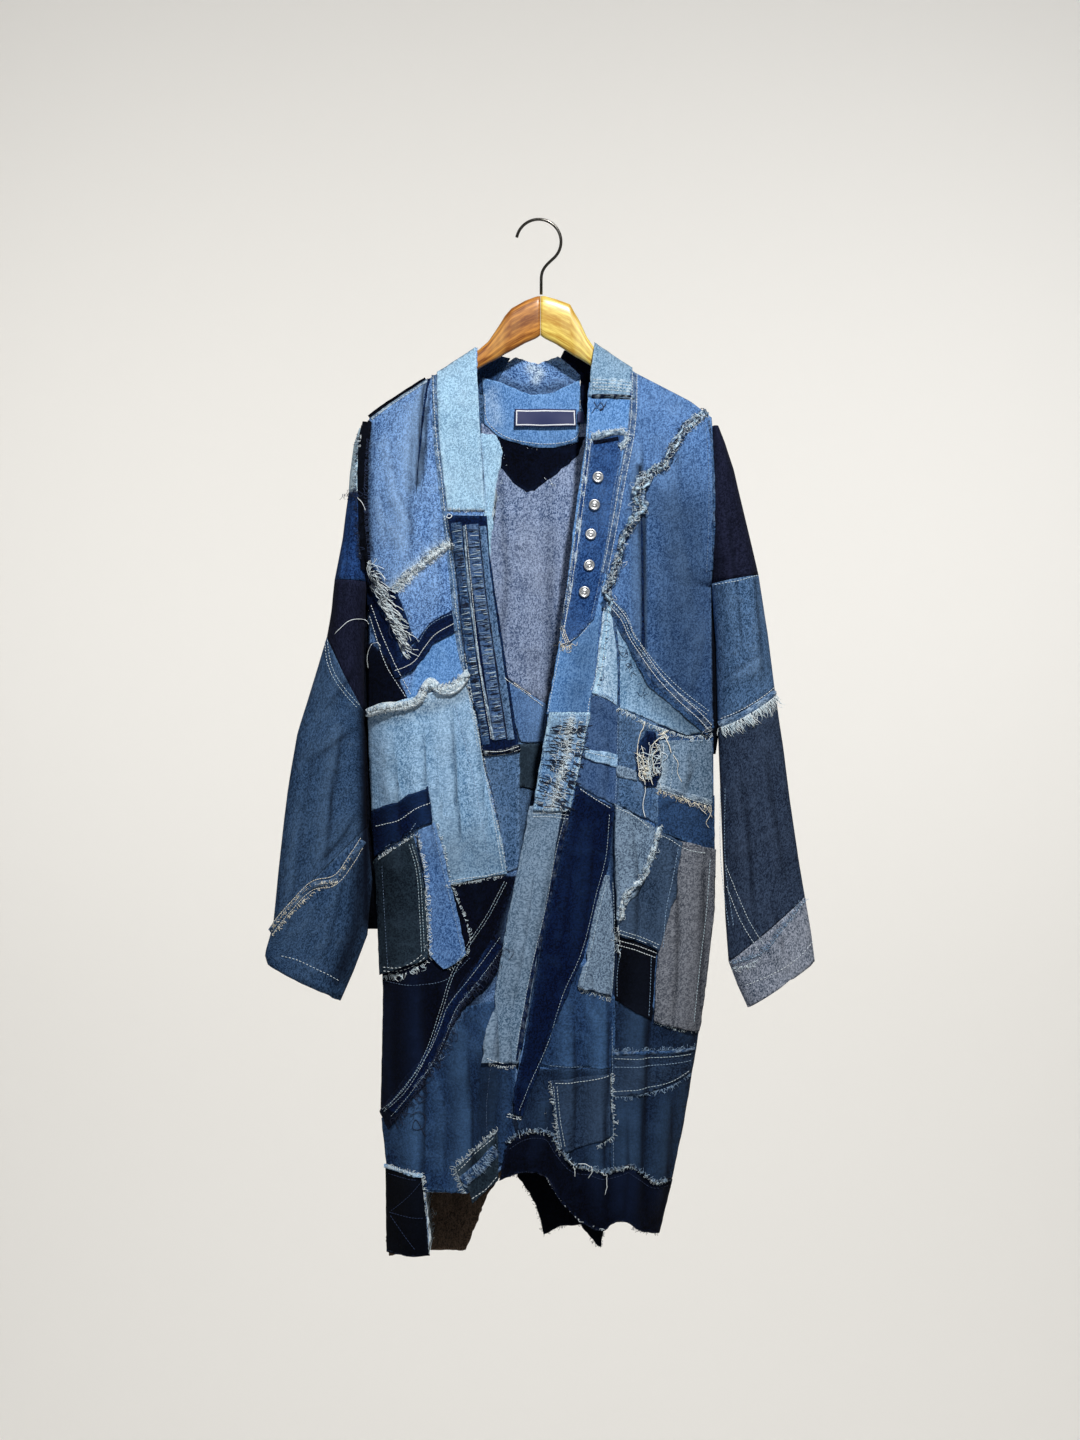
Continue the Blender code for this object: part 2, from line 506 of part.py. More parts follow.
def sleeve_piece(name, rings, side, finish):
    """One piece of a sleeve: a sheet through its rings, with its two edges apart at the seam."""
    solid = bmesh.new()
    walls = [[[solid.verts.new(p) for p in sleeve_ring(ring, side, t)] for ring in rings]
             for t in (0, CLOTH)]
    last_ring = len(rings) - 1
    for inner in (True, False):
        wall = walls[0 if inner else 1]
        for j in range(last_ring):
            for i in range(AROUND):
                a, b, c, d = wall[j][i], wall[j][i + 1], wall[j + 1][i + 1], wall[j + 1][i]
                for loop in ((a, b, c), (a, c, d)):
                    solid.faces.new(loop if inner else reversed(loop))
    low, high = walls
    for j in (0, last_ring):
        for i in range(AROUND):
            solid.faces.new([low[j][i], high[j][i], high[j][i + 1], low[j][i + 1]])
    for i in (0, AROUND):
        for j in range(last_ring):
            solid.faces.new([low[j][i], low[j + 1][i], high[j + 1][i], high[j][i]])
    return add_object(name, solid, finish)


def mix(a, b, share):
    return Ring(*(p + (q - p) * share for p, q in zip(a, b)))


def sleeve(prefix, table, side, finishes):
    """A sleeve's pieces, each a little short of the next at their seam."""
    starts = [i for i, (name, _) in enumerate(table) if name] + [len(table) - 1]
    for start, end in zip(starts, starts[1:]):
        rings = [ring for _, ring in table[start:end + 1]]
        if end < len(table) - 1:
            rings[-1] = mix(rings[-1], rings[-2], 0.3 / 40 if abs(rings[-1].in_x) == SIDE else 0.012)
        sleeve_piece(prefix + table[start][0], rings, side, finishes[table[start][0]])


# ----------------------------------------------------------------------- hanger, hook, buttons

MITRE_X = 1.5               # where the two arms meet
ARM_THICK, ARM_CORNER = 14, 6.3
LEFT_ARM = [Station(MITRE_X - SEAM / 2, -89, -139), Station(-17, -96, -147), Station(-33, -105, -156),
            Station(-41, -114, -160), Station(-47, -124, -164), Station(-61, -145, -171),
            Station(-73, -155.4, -178), Station(-100, -173, -194), Station(-125, -195, -211),
            Station(-167, -223, -238), Station(-188, -234.6, -249)]
RIGHT_ARM = [Station(MITRE_X + SEAM / 2, -89, -139), Station(20, -94, -148), Station(37, -100, -159),
             Station(43, -111, -163), Station(49, -121, -166), Station(57, -139, -171),
             Station(66, -152.6, -177), Station(92, -170.8, -191), Station(115, -193, -209),
             Station(170, -225, -239), Station(192, -235, -251)]
WIRE = 1.8                  # radius of the hook's wire
HOOK_CENTRE, HOOK_RADIUS = (-0.6, -25.0), 26.8
SHANK_X, SHANK_END = 2.4, -88.4
BUTTONS = [(69.6, -312), (65.4, -344.4), (61.2, -379.8), (58.2, -416.4), (53.6, -447.6)]
BUTTON_LAYER = 3


def arm_section(station):
    """The points round one section: a bar with rounded corners, flat where it meets the other arm."""
    height = station.top - station.bottom
    corner = min(ARM_CORNER, height / 2 - 0.5)
    points = []
    for quarter, (y_side, z_side) in enumerate(((1, 1), (-1, 1), (-1, -1), (1, -1))):
        for step in range(4):
            angle = math.pi / 2 * (quarter + step / 3)
            points.append(Vector((station.x,
                                  y_side * (ARM_THICK / 2 - corner) + corner * math.cos(angle),
                                  (station.top + station.bottom) / 2
                                  + z_side * (height / 2 - corner) + corner * math.sin(angle))))
    return points


def hanger_arm(name, stations, finish):
    bm = bmesh.new()
    rings = [[bm.verts.new(p) for p in arm_section(s)] for s in stations]
    count = len(rings[0])
    for ring, following in zip(rings, rings[1:]):
        for i in range(count):
            bm.faces.new([ring[i], ring[(i + 1) % count], following[(i + 1) % count], following[i]])
    bm.faces.new(rings[0])
    bm.faces.new(reversed(rings[-1]))
    return add_object(name, bm, finish)


def hook_path():
    """The wire's centre line: from the tip over the top, round to the right and down the shank."""
    cx, cz = HOOK_CENTRE
    path = []
    for degrees in range(169, -48, -12):
        angle = math.radians(degrees)
        path.append((cx + HOOK_RADIUS * math.cos(angle), cz + HOOK_RADIUS * math.sin(angle)))
    angle = math.radians(-47)
    end = (cx + HOOK_RADIUS * math.cos(angle), cz + HOOK_RADIUS * math.sin(angle))
    bend = [(end[0] - 8.2, end[1] - 7.2), (SHANK_X + 3.6, end[1] - 13.5), (SHANK_X + 0.9, end[1] - 19)]
    return path + [end] + bend + [(SHANK_X, end[1] - 25), (SHANK_X, SHANK_END)]


def make_hook():
    curve = bpy.data.curves.new("hook", "CURVE")
    curve.dimensions = "3D"
    curve.bevel_depth, curve.bevel_resolution, curve.use_fill_caps = WIRE * MM, 2, True
    spline = curve.splines.new("POLY")
    path = hook_path()
    spline.points.add(len(path) - 1)
    for point, (x, z) in zip(spline.points, path):
        point.co = (x * MM, 0, z * MM, 1)
    curve.materials.append(FINISHES["steel"])
    coat.objects.link(bpy.data.objects.new("hook", curve))


def make_buttons():
    """Five riveted buttons, all one turned shape, each standing square on the placket."""
    profile = [(0, 0), (4.6, 0), (4.6, 0.8), (6.5, 1.3), (6.5, 2.6), (5.4, 3.2), (2.0, 2.7), (0, 2.7)]
    _, outer = offsets(BUTTON_LAYER - 1, True)
    for number, (x, z) in enumerate(BUTTONS, 1):
        bm = bmesh.new()
        verts = [bm.verts.new((r, 0, h)) for r, h in profile]
        edges = [bm.edges.new(pair) for pair in zip(verts, verts[1:])]
        bmesh.ops.spin(bm, geom=verts + edges, cent=(0, 0, 0), axis=(0, 0, 1),
                       angle=2 * math.pi, steps=12, use_merge=True)
        bmesh.ops.remove_doubles(bm, verts=bm.verts, dist=1e-4)
        place = grid_place(x, z)
        at = lift("front", place.x, place.y, outer)
        beside = lift("front", place.x + 0.02, place.y, outer) - at
        below = lift("front", place.x, place.y + 0.02, outer) - at
        normal = beside.cross(below).normalized()
        normal = normal if normal.y < 0 else -normal
        turn = normal.to_track_quat("Z", "Y").to_matrix().to_4x4()
        bmesh.ops.transform(bm, matrix=Matrix.Translation(at + normal * 0.5) @ turn, verts=bm.verts)
        add_object(f"button_{number}", bm, "zinc")


for piece in FLAT_PIECES:
    cloth_piece(*piece)
sleeve("sleeve_left_", LEFT_SLEEVE, -1, {"cap": "denim_light", "upper": "denim_dark", "navy": "denim_navy",
                                         "lower": "denim_mid", "cuff": "denim_mid"})
sleeve("sleeve_right_", RIGHT_SLEEVE, 1, {"top": "denim_navy", "mid": "denim_mid", "slub": "denim_dark",
                                          "cuff": "denim_grey"})
hanger_arm("hanger_arm_left", LEFT_ARM, "wood_red")
hanger_arm("hanger_arm_right", RIGHT_ARM, "wood_honey")
make_hook()
make_buttons()
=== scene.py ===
# %% [markdown]
# # A patched denim coat on a wooden hanger
# The coat is long and open, cut straight like a short kimono, and sewn together from worn-out jeans.
# Nothing in it is a solid block: it is cloth about a millimetre thick, hanging flat from a hanger.
# So each cut piece is made here as a thin sheet. All sheets of the front lie on one surface, all
# sheets of the back on another, and each sleeve is a tube, so the pieces drape together as sewn cloth
# does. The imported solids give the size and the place, and the sheets stand for them.

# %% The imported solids
import math
from collections import namedtuple
from functools import partial

import bmesh
import bpy
import numpy as np
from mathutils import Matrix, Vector
from mathutils.bvhtree import BVHTree
from mathutils.kdtree import KDTree


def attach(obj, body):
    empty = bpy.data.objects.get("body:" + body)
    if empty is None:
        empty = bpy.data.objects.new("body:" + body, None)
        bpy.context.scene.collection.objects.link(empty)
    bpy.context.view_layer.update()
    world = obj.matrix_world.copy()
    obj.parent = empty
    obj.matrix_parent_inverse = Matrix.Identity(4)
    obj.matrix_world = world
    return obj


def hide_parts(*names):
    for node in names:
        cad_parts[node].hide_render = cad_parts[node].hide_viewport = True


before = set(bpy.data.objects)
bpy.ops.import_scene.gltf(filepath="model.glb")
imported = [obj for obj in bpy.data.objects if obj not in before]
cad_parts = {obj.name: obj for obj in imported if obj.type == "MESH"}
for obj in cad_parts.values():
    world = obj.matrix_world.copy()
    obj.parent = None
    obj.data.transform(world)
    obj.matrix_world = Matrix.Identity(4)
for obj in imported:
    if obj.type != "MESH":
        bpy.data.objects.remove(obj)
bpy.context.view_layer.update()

# %% [markdown]
# ## Camera, light and floor
# The coat hangs at eye level and is seen straight from the front. One soft lamp stands high on the
# right, so folds shade to the left and the top is brighter than the hem. A weak lamp on the left
# opens the shadows. The floor is plain and pale and curves up far behind the coat, and two lamps of
# its own keep it nearly white.

# %% Camera, light and floor
MM = 0.001
EYE = Vector((0.001, -2.6, -0.599))
FRAME_HEIGHT = 1.728                   # metres that the camera takes in at the coat


def colour(code):
    """An sRGB hex colour as linear numbers, with alpha."""
    parts = [int(code[i:i + 2], 16) / 255 for i in (0, 2, 4)]
    return tuple(c / 12.92 if c <= 0.04045 else ((c + 0.055) / 1.055) ** 2.4 for c in parts) + (1.0,)


def lamp(name, at, toward, size, watts, tint):
    data = bpy.data.lights.new(name, "AREA")
    data.shape, data.size, data.energy, data.color = "DISK", size, watts, colour(tint)[:3]
    made = bpy.data.objects.new(name, data)
    bpy.context.scene.collection.objects.link(made)
    made.location = at
    made.rotation_euler = (Vector(toward) - Vector(at)).to_track_quat("-Z", "Y").to_euler()


camera = bpy.data.objects.new("camera", bpy.data.cameras.new("camera"))
bpy.context.scene.collection.objects.link(camera)
camera.location, camera.rotation_euler = EYE, (math.pi / 2, 0, 0)
camera.data.lens = camera.data.sensor_width * -EYE.y / FRAME_HEIGHT
bpy.context.scene.camera = camera

lamp("lamp_key", (0.46, -1.98, 1.25), (0.0, 0.0, -0.42), 0.16, 75, "fffefc")
lamp("lamp_fill", (-2.0, -2.4, -0.2), (0.0, 0.0, -0.7), 1.2, 9, "e8f0ff")
lamp("lamp_wall_left", (-2.6, 2.0, 0.9), (-0.6, 6.5, -1.0), 2.4, 106, "fffdf9")
lamp("lamp_wall_right", (2.6, 2.0, 0.9), (0.6, 6.5, -1.0), 2.4, 123, "fffefc")

world = bpy.data.worlds.new("pale_room")
world.use_nodes = True
world.node_tree.nodes["Background"].inputs["Color"].default_value = colour("e9e7e2")
world.node_tree.nodes["Background"].inputs["Strength"].default_value = 0.2
bpy.context.scene.world = world
bpy.context.scene.view_settings.view_transform = "Standard"

# %% [markdown]
# ## Helpers for nodes
# Every finish below is a small graph of nodes. One function adds a node, sets its values and wires it,
# and that is all the help the graphs need.

# %% A node with its values and wires
def add(tree, kind, values=None, wires=None):
    """Adds a shader node. Values are its properties or unlinked inputs, wires its linked inputs."""
    made = tree.nodes.new("ShaderNode" + kind)
    for key, value in (values or {}).items():
        if isinstance(key, str) and hasattr(made, key):
            setattr(made, key, value)
        else:
            made.inputs[key].default_value = value
    for key, socket in (wires or {}).items():
        tree.links.new(socket, made.inputs[key])
    return made


def new_finish(name, roughness, metallic=0.0, ior=1.5):
    """A material and its Principled shader, with the values that are the same all over."""
    made = bpy.data.materials.new(name)
    made.use_nodes = True
    shader = made.node_tree.nodes["Principled BSDF"]
    shader.inputs["Roughness"].default_value = roughness
    shader.inputs["Metallic"].default_value = metallic
    shader.inputs["IOR"].default_value = ior
    return made, made.node_tree, shader


# %% [markdown]
# ## Floor and far wall
# Painted board: matt, with a faint unevenness. It is one sheet that bends up far behind the coat.

# %% Floor and far wall
def make_floor():
    made, tree, shader = new_finish("painted_board", 0.9)
    cloud = add(tree, "TexNoise", {"Scale": 1.3, "Detail": 2.0})
    tone = add(tree, "MixRGB", {"Color1": colour("e8e6e2"), "Color2": colour("f2f1ef")},
               {"Fac": cloud.outputs["Fac"]})
    tree.links.new(tone.outputs["Color"], shader.inputs["Base Color"])
    bm = bmesh.new()
    profile = [(-7.0, -3.2), (5.0, -3.2)]
    profile += [(5.0 + 1.5 * math.sin(a), -1.7 - 1.5 * math.cos(a)) for a in np.linspace(0.1, 1.57, 12)]
    profile += [(6.5, 3.5)]
    rows = [[bm.verts.new((x, y, z)) for x in (-7.0, 7.0)] for y, z in profile]
    for a, b in zip(rows, rows[1:]):
        bm.faces.new([a[0], a[1], b[1], b[0]])
    mesh = bpy.data.meshes.new("floor")
    bm.to_mesh(mesh)
    bm.free()
    mesh.materials.append(made)
    mesh.shade_smooth()
    floor = bpy.data.objects.new("floor", mesh)
    bpy.context.scene.collection.objects.link(floor)


make_floor()

# %% [markdown]
# ## The two cloth surfaces
# A hanging coat is two nearly flat walls that meet at the side seams and over the shoulders. Each wall
# is a height at every place of the front view: the tables are the coat's own outline and depth, the
# same that its solids are built from. Working with a height makes patches easy, because a patch is the
# same surface moved out by one more layer.

# %% Outline and depth of the coat, in millimetres
CLOTH = 1.0                 # thickness of the sheets
LAYER = 1.8                 # from one layer of cloth to the next
WRAP = 3.6                  # how far the right front is carried out over the left one
LEFT_EDGE = [(-1240, -180), (-1134, -181), (-1067, -188), (-928, -185), (-809, -189), (-707, -198),
             (-588, -203), (-407, -206), (-240, -204), (-150, -204)]           # (z, x)
RIGHT_EDGE = [(-1240, 136), (-1148, 158), (-1081, 172), (-991, 187), (-953, 193), (-827, 207),
              (-754, 209), (-575, 208), (-440, 206), (-236, 207), (-150, 207)]
SHOULDER = [(-210, -242), (-167, -211), (-125, -186), (-73, -152), (-40, -130), (0, -118),
            (38, -130), (64, -149), (115, -183), (181, -217), (212, -240)]     # (x, z)
FRONT_DEPTH = [(-1240, 38), (-1000, 43), (-700, 40), (-400, 34), (-150, 32)]   # (z, y)
BACK_DEPTH = [(-1240, 30), (-1000, 33), (-600, 30), (-300, 28), (-150, 28)]
SIDE_ROUND, SHOULDER_ROUND = 62, 70
ARM_TOP, ARM_BOTTOM, ARM_OPEN = -240, -437, 0.88
CREASE_FULL = 11.0          # the height of a fold whose crease is fully darkened: partly the dye a crease keeps, partly painted shade
SIDE, TOP = 999.0, 0.0      # in a row of a piece: the side seam, and the shoulder line

Fold = namedtuple("Fold", "path width height")    # path: x and z by turns, from where it starts


def on_table(table, at):
    places, values = zip(*table)
    return np.interp(at, places, values)


def armhole(z):
    """How open the armhole stands at a height: 0 closed, 1 as deep as the coat."""
    middle, half = (ARM_TOP + ARM_BOTTOM) / 2, (ARM_TOP - ARM_BOTTOM) / 2
    return ARM_OPEN * np.sqrt(np.clip(1 - ((z - middle) / half) ** 2, 0, None))


def rounding(distance, reach, power):
    return 1 - (1 - np.clip(distance / reach, 0, 1)) ** power


def to_path(x, z, path):
    """Distance to a path, positive on the right of its way, and how far along it, from 0 to 1."""
    path = np.reshape(path, (-1, 2))
    best, signed, share = np.full(np.shape(x), 1e9), np.zeros(np.shape(x)), np.zeros(np.shape(x))
    lengths = [math.hypot(b[0] - a[0], b[1] - a[1]) for a, b in zip(path, path[1:])]
    done = 0.0
    for (a, b), length in zip(zip(path, path[1:]), lengths):
        along = ((b[0] - a[0]) / length, (b[1] - a[1]) / length)
        t = np.clip((x - a[0]) * along[0] + (z - a[1]) * along[1], 0, length)
        dx, dz = x - a[0] - t * along[0], z - a[1] - t * along[1]
        far = np.hypot(dx, dz)
        near = far < best
        best = np.where(near, far, best)
        signed = np.where(near, np.where(dz * along[0] - dx * along[1] > 0, -far, far), signed)
        share = np.where(near, (done + t) / sum(lengths), share)
        done += length
    return signed, share


def hills(x, z, size, seed):
    """Smooth hills and hollows between -1 and 1, about size millimetres across."""
    table = np.random.default_rng(seed).uniform(-1, 1, (61, 67))
    gx, gz = np.asarray(x) / size + 500, np.asarray(z) / size + 500
    ix, iz = np.floor(gx).astype(int), np.floor(gz).astype(int)
    fx, fz = gx - ix, gz - iz
    fx, fz = fx * fx * (3 - 2 * fx), fz * fz * (3 - 2 * fz)
    a, b = table[ix % 61, iz % 67], table[(ix + 1) % 61, iz % 67]
    c, d = table[ix % 61, (iz + 1) % 67], table[(ix + 1) % 61, (iz + 1) % 67]
    return (a * (1 - fx) + b * fx) * (1 - fz) + (c * (1 - fx) + d * fx) * fz


def folded(table, x, z):
    """The height of a table of folds: soft ridges, steeper on the left, that fade at both ends."""
    total = np.zeros(np.shape(x))
    for fold in table:
        signed, share = to_path(x, z, fold.path)
        width = np.where(signed < 0, 0.45, 1.4) * fold.width
        ends = np.clip(np.minimum(share, 1 - share) / 0.3, 0, 1)
        total += fold.height * np.exp(-(signed / width) ** 2) * ends * (2 - ends)
    return total


def painted_crease_shade(table, x, z):
    """How deep in a crease a point lies: the narrow foot on the steep side of each fold. It darkens the
    colour as painted crease shade, partly the dye a crease keeps.
    """
    total = np.zeros(np.shape(x))
    for fold in table:
        signed, share = to_path(x, z, fold.path)
        ends = np.clip(np.minimum(share, 1 - share) / 0.3, 0, 1)
        total += fold.height * np.exp(-((signed + 0.5 * fold.width) / (0.26 * fold.width)) ** 2) * ends
    return np.clip(total / CREASE_FULL, 0, 0.75)


# %% [markdown]
# ## Folds and creases
# Denim this heavy keeps broad folds from the shoulders and the weight of the patches, and short sharp
# creases where a seam pulls. They are listed one by one, all of different length, width and height, and
# the back has its own, though nobody sees it from the front.

# %% Folds of the front and back
FRONT_FOLDS = [Fold(*row) for row in [
    ([-133, -186, -138, -240, -144, -330], 9, 12), ([-154, -205, -160, -330, -158, -440], 15, 5),
    ([-186, -250, -172, -330, -150, -380], 10, 4), ([-198, -330, -176, -372, -148, -398], 9, 3),
    ([-120, -330, -124, -400, -118, -470], 9, 3.5), ([-192, -300, -188, -360, -180, -410], 8, 3),
    ([116, -256, 120, -340, 122, -440, 123, -522], 8, 13), ([152, -240, 164, -380, 186, -520], 16, 5),
    ([186, -300, 192, -420, 196, -520], 10, 3), ([140, -400, 150, -480, 164, -560], 9, 2.5),
    ([96, -500, 106, -545, 118, -600], 8, 4), ([200, -470, 190, -530, 176, -570], 9, 4),
    ([90, -470, 92, -520, 88, -570], 6, 3), ([-180, -596, -172, -700, -164, -790], 12, 5.5),
    ([-146, -584, -140, -680, -126, -770], 12, 6), ([-112, -568, -106, -690, -94, -800], 13, 7),
    ([-82, -562, -74, -680, -62, -770], 10, 4), ([-196, -620, -172, -680, -140, -700], 9, 3),
    ([-128, -640, -118, -720, -110, -780], 8, 3.5),
    ([-150, -860, -142, -1000, -146, -1150, -142, -1240], 15, 8),
    ([-174, -900, -178, -1010, -168, -1110], 12, 5), ([-112, -890, -94, -960, -62, -1000], 10, 4),
    ([-94, -950, -86, -1070, -90, -1190], 13, 8.5), ([-60, -920, -54, -1030, -64, -1140], 11, 7),
    ([-128, -1000, -114, -1060, -118, -1150], 9, 5), ([-42, -950, -38, -1060, -44, -1120], 8, 4),
    ([70, -600, 78, -640, 72, -700], 8, 4), ([118, -596, 124, -650, 116, -706], 8, 5),
    ([60, -560, 90, -590, 130, -604], 7, 3), ([170, -626, 174, -660, 168, -692], 7, 3.5),
    ([100, -716, 108, -790, 104, -880], 12, 6), ([150, -736, 156, -850, 150, -970], 11, 6),
    ([186, -740, 184, -880, 176, -1000], 13, 7.5), ([126, -850, 118, -990, 114, -1100, 110, -1215], 14, 11),
    ([76, -890, 74, -1010, 70, -1110, 72, -1205], 11, 8), ([32, -920, 36, -1030, 30, -1140], 11, 6.5),
    ([152, -1030, 148, -1120, 138, -1200], 11, 8), ([50, -870, 62, -940, 84, -980], 8, 3.5),
    ([8, -1030, 4, -1090, -12, -1130], 9, 5), ([96, -1030, 100, -1120, 92, -1195], 9, 6),
    ([184, -640, 160, -690, 130, -706], 8, 3), ([14, -720, -4, -820, -24, -930], 11, 4),
    ([60, -700, 52, -800, 38, -900], 11, 4), ([174, -1010, 170, -1070, 160, -1140], 9, 5),
    ([-8, -760, -22, -860, -40, -960], 8, 3), ([40, -700, 30, -800, 14, -900], 7, 2.5),
]]
BACK_FOLDS = [Fold(*row) for row in [
    ([0, -240, 4, -600, -4, -900, 2, -1240], 24, 6), ([-104, -420, -100, -800, -112, -1240], 20, 7),
    ([122, -400, 118, -800, 108, -1230], 22, 7), ([-150, -700, -146, -1000, -142, -1240], 15, 4),
    ([-60, -250, -46, -420, -56, -560], 15, 3.5), ([60, -240, 50, -400, 66, -580], 16, 4),
    ([-160, -260, -130, -330, -90, -370], 13, 3.5), ([170, -260, 136, -330, 96, -360], 13, 3.5),
    ([-190, -420, -150, -470, -120, -560], 12, 3), ([190, -420, 160, -480, 132, -560], 12, 3),
    ([-54, -700, -48, -900, -60, -1100], 15, 4), ([56, -760, 60, -930, 50, -1150], 15, 5),
    ([160, -700, 164, -900, 148, -1100], 14, 4), ([-176, -800, -170, -950, -164, -1100], 12, 3),
    ([-20, -560, 20, -590, 70, -600], 10, 2.2), ([-140, -980, -90, -1010, -40, -1000], 12, 2.6),
]]


def height(side, x, z):
    """How far the cloth of one side stands out from the middle plane, folds and all."""
    front = side == "front"
    full = on_table(FRONT_DEPTH if front else BACK_DEPTH, z)
    edge = np.minimum(x - on_table(LEFT_EDGE, z), on_table(RIGHT_EDGE, z) - x)
    closed = (1 - armhole(z)) * (1 - rounding(edge, SIDE_ROUND, 2.4))
    shape = (1 - closed) * rounding(on_table(SHOULDER, x) - z, SHOULDER_ROUND, 3.0)
    seed = 11 if front else 23
    loose = 1.9 * hills(x, z, 46, seed) + 1.0 * hills(x + z, z - x, 27, seed + 1)
    calm = np.clip(edge / 30, 0.15, 1) * np.clip((on_table(SHOULDER, x) - z) / 25, 0.1, 1)
    return 0.15 + shape * full + calm * (folded(FRONT_FOLDS if front else BACK_FOLDS, x, z) + loose)


def carried(x):
    """How far the right front is carried out, which fades to nothing away from the opening."""
    return WRAP * np.clip((70 - x) / 70, 0, 1)


def lie(side, x, z, lift, wrapped=False):
    """Places in millimetres, lift out from the cloth of one side, for arrays x, z and lift."""
    x, z = np.asarray(x, float), np.asarray(z, float)
    out, reach = (-1 if side == "front" else 1), 1.5
    level = height(side, x, z)
    slope_x = (height(side, x + reach, z) - height(side, x - reach, z)) / (2 * reach)
    slope_z = (height(side, x, z + reach) - height(side, x, z - reach)) / (2 * reach)
    steep = np.minimum(1.0, 1.5 / np.maximum(1e-6, np.hypot(slope_x, slope_z)))
    normal = np.stack([-slope_x * steep, np.full(x.shape, float(out)), -slope_z * steep], -1)
    normal /= np.linalg.norm(normal, axis=-1, keepdims=True)
    lift = lift + (carried(x) if wrapped else 0.0)
    return np.stack([x, out * level, z], -1) + normal * np.asarray(lift)[..., None]


print("front at the chest stands", round(float(height("front", 0.0, -400.0)), 1), "mm out")

# %% [markdown]
# ## Denim
# Denim is a cotton twill: a dyed warp thread passes over undyed weft threads, so the face is blue with
# pale flecks, in steep diagonals, and thick places in the warp show as faint streaks. Washing bleaches
# it in clouds, rubbing whitens ridges and cut edges. The graph follows that: flecks, diagonals, streaks,
# a cloudy wash, and wear from three values that every sheet carries: how far a point is from the cut
# edge, how high it stands on a fold, and how bleached it is. The fold height also lightens fold tops,
# partly as wear and partly as a painted highlight. A fourth value darkens the cloth: it is painted shade
# in creases, pleats and shaded gaps, partly the dye a crease keeps, and a few other dark strokes.
# Real threads are 0.5 mm apart; the flecks are drawn 1.3 mm wide, because finer ones would not show
# from where the whole coat is seen.
# The fuzz of cotton scatters most of the shine away, so the specular level is far below a solid's.

# %% Denim washes
FLECK, TWILL_WIDTH, TWILL_LENGTH, SLUB_WIDTH, SLUB_LENGTH = 0.0013, 0.0014, 0.005, 0.0026, 0.03    # metres
WEFT, SHADE_AND_DARKENING_NAVY = "d6eaf6", "080d1a"         # bleached weft, and the near-black navy of painted shade, crease darkening and the other dark marks
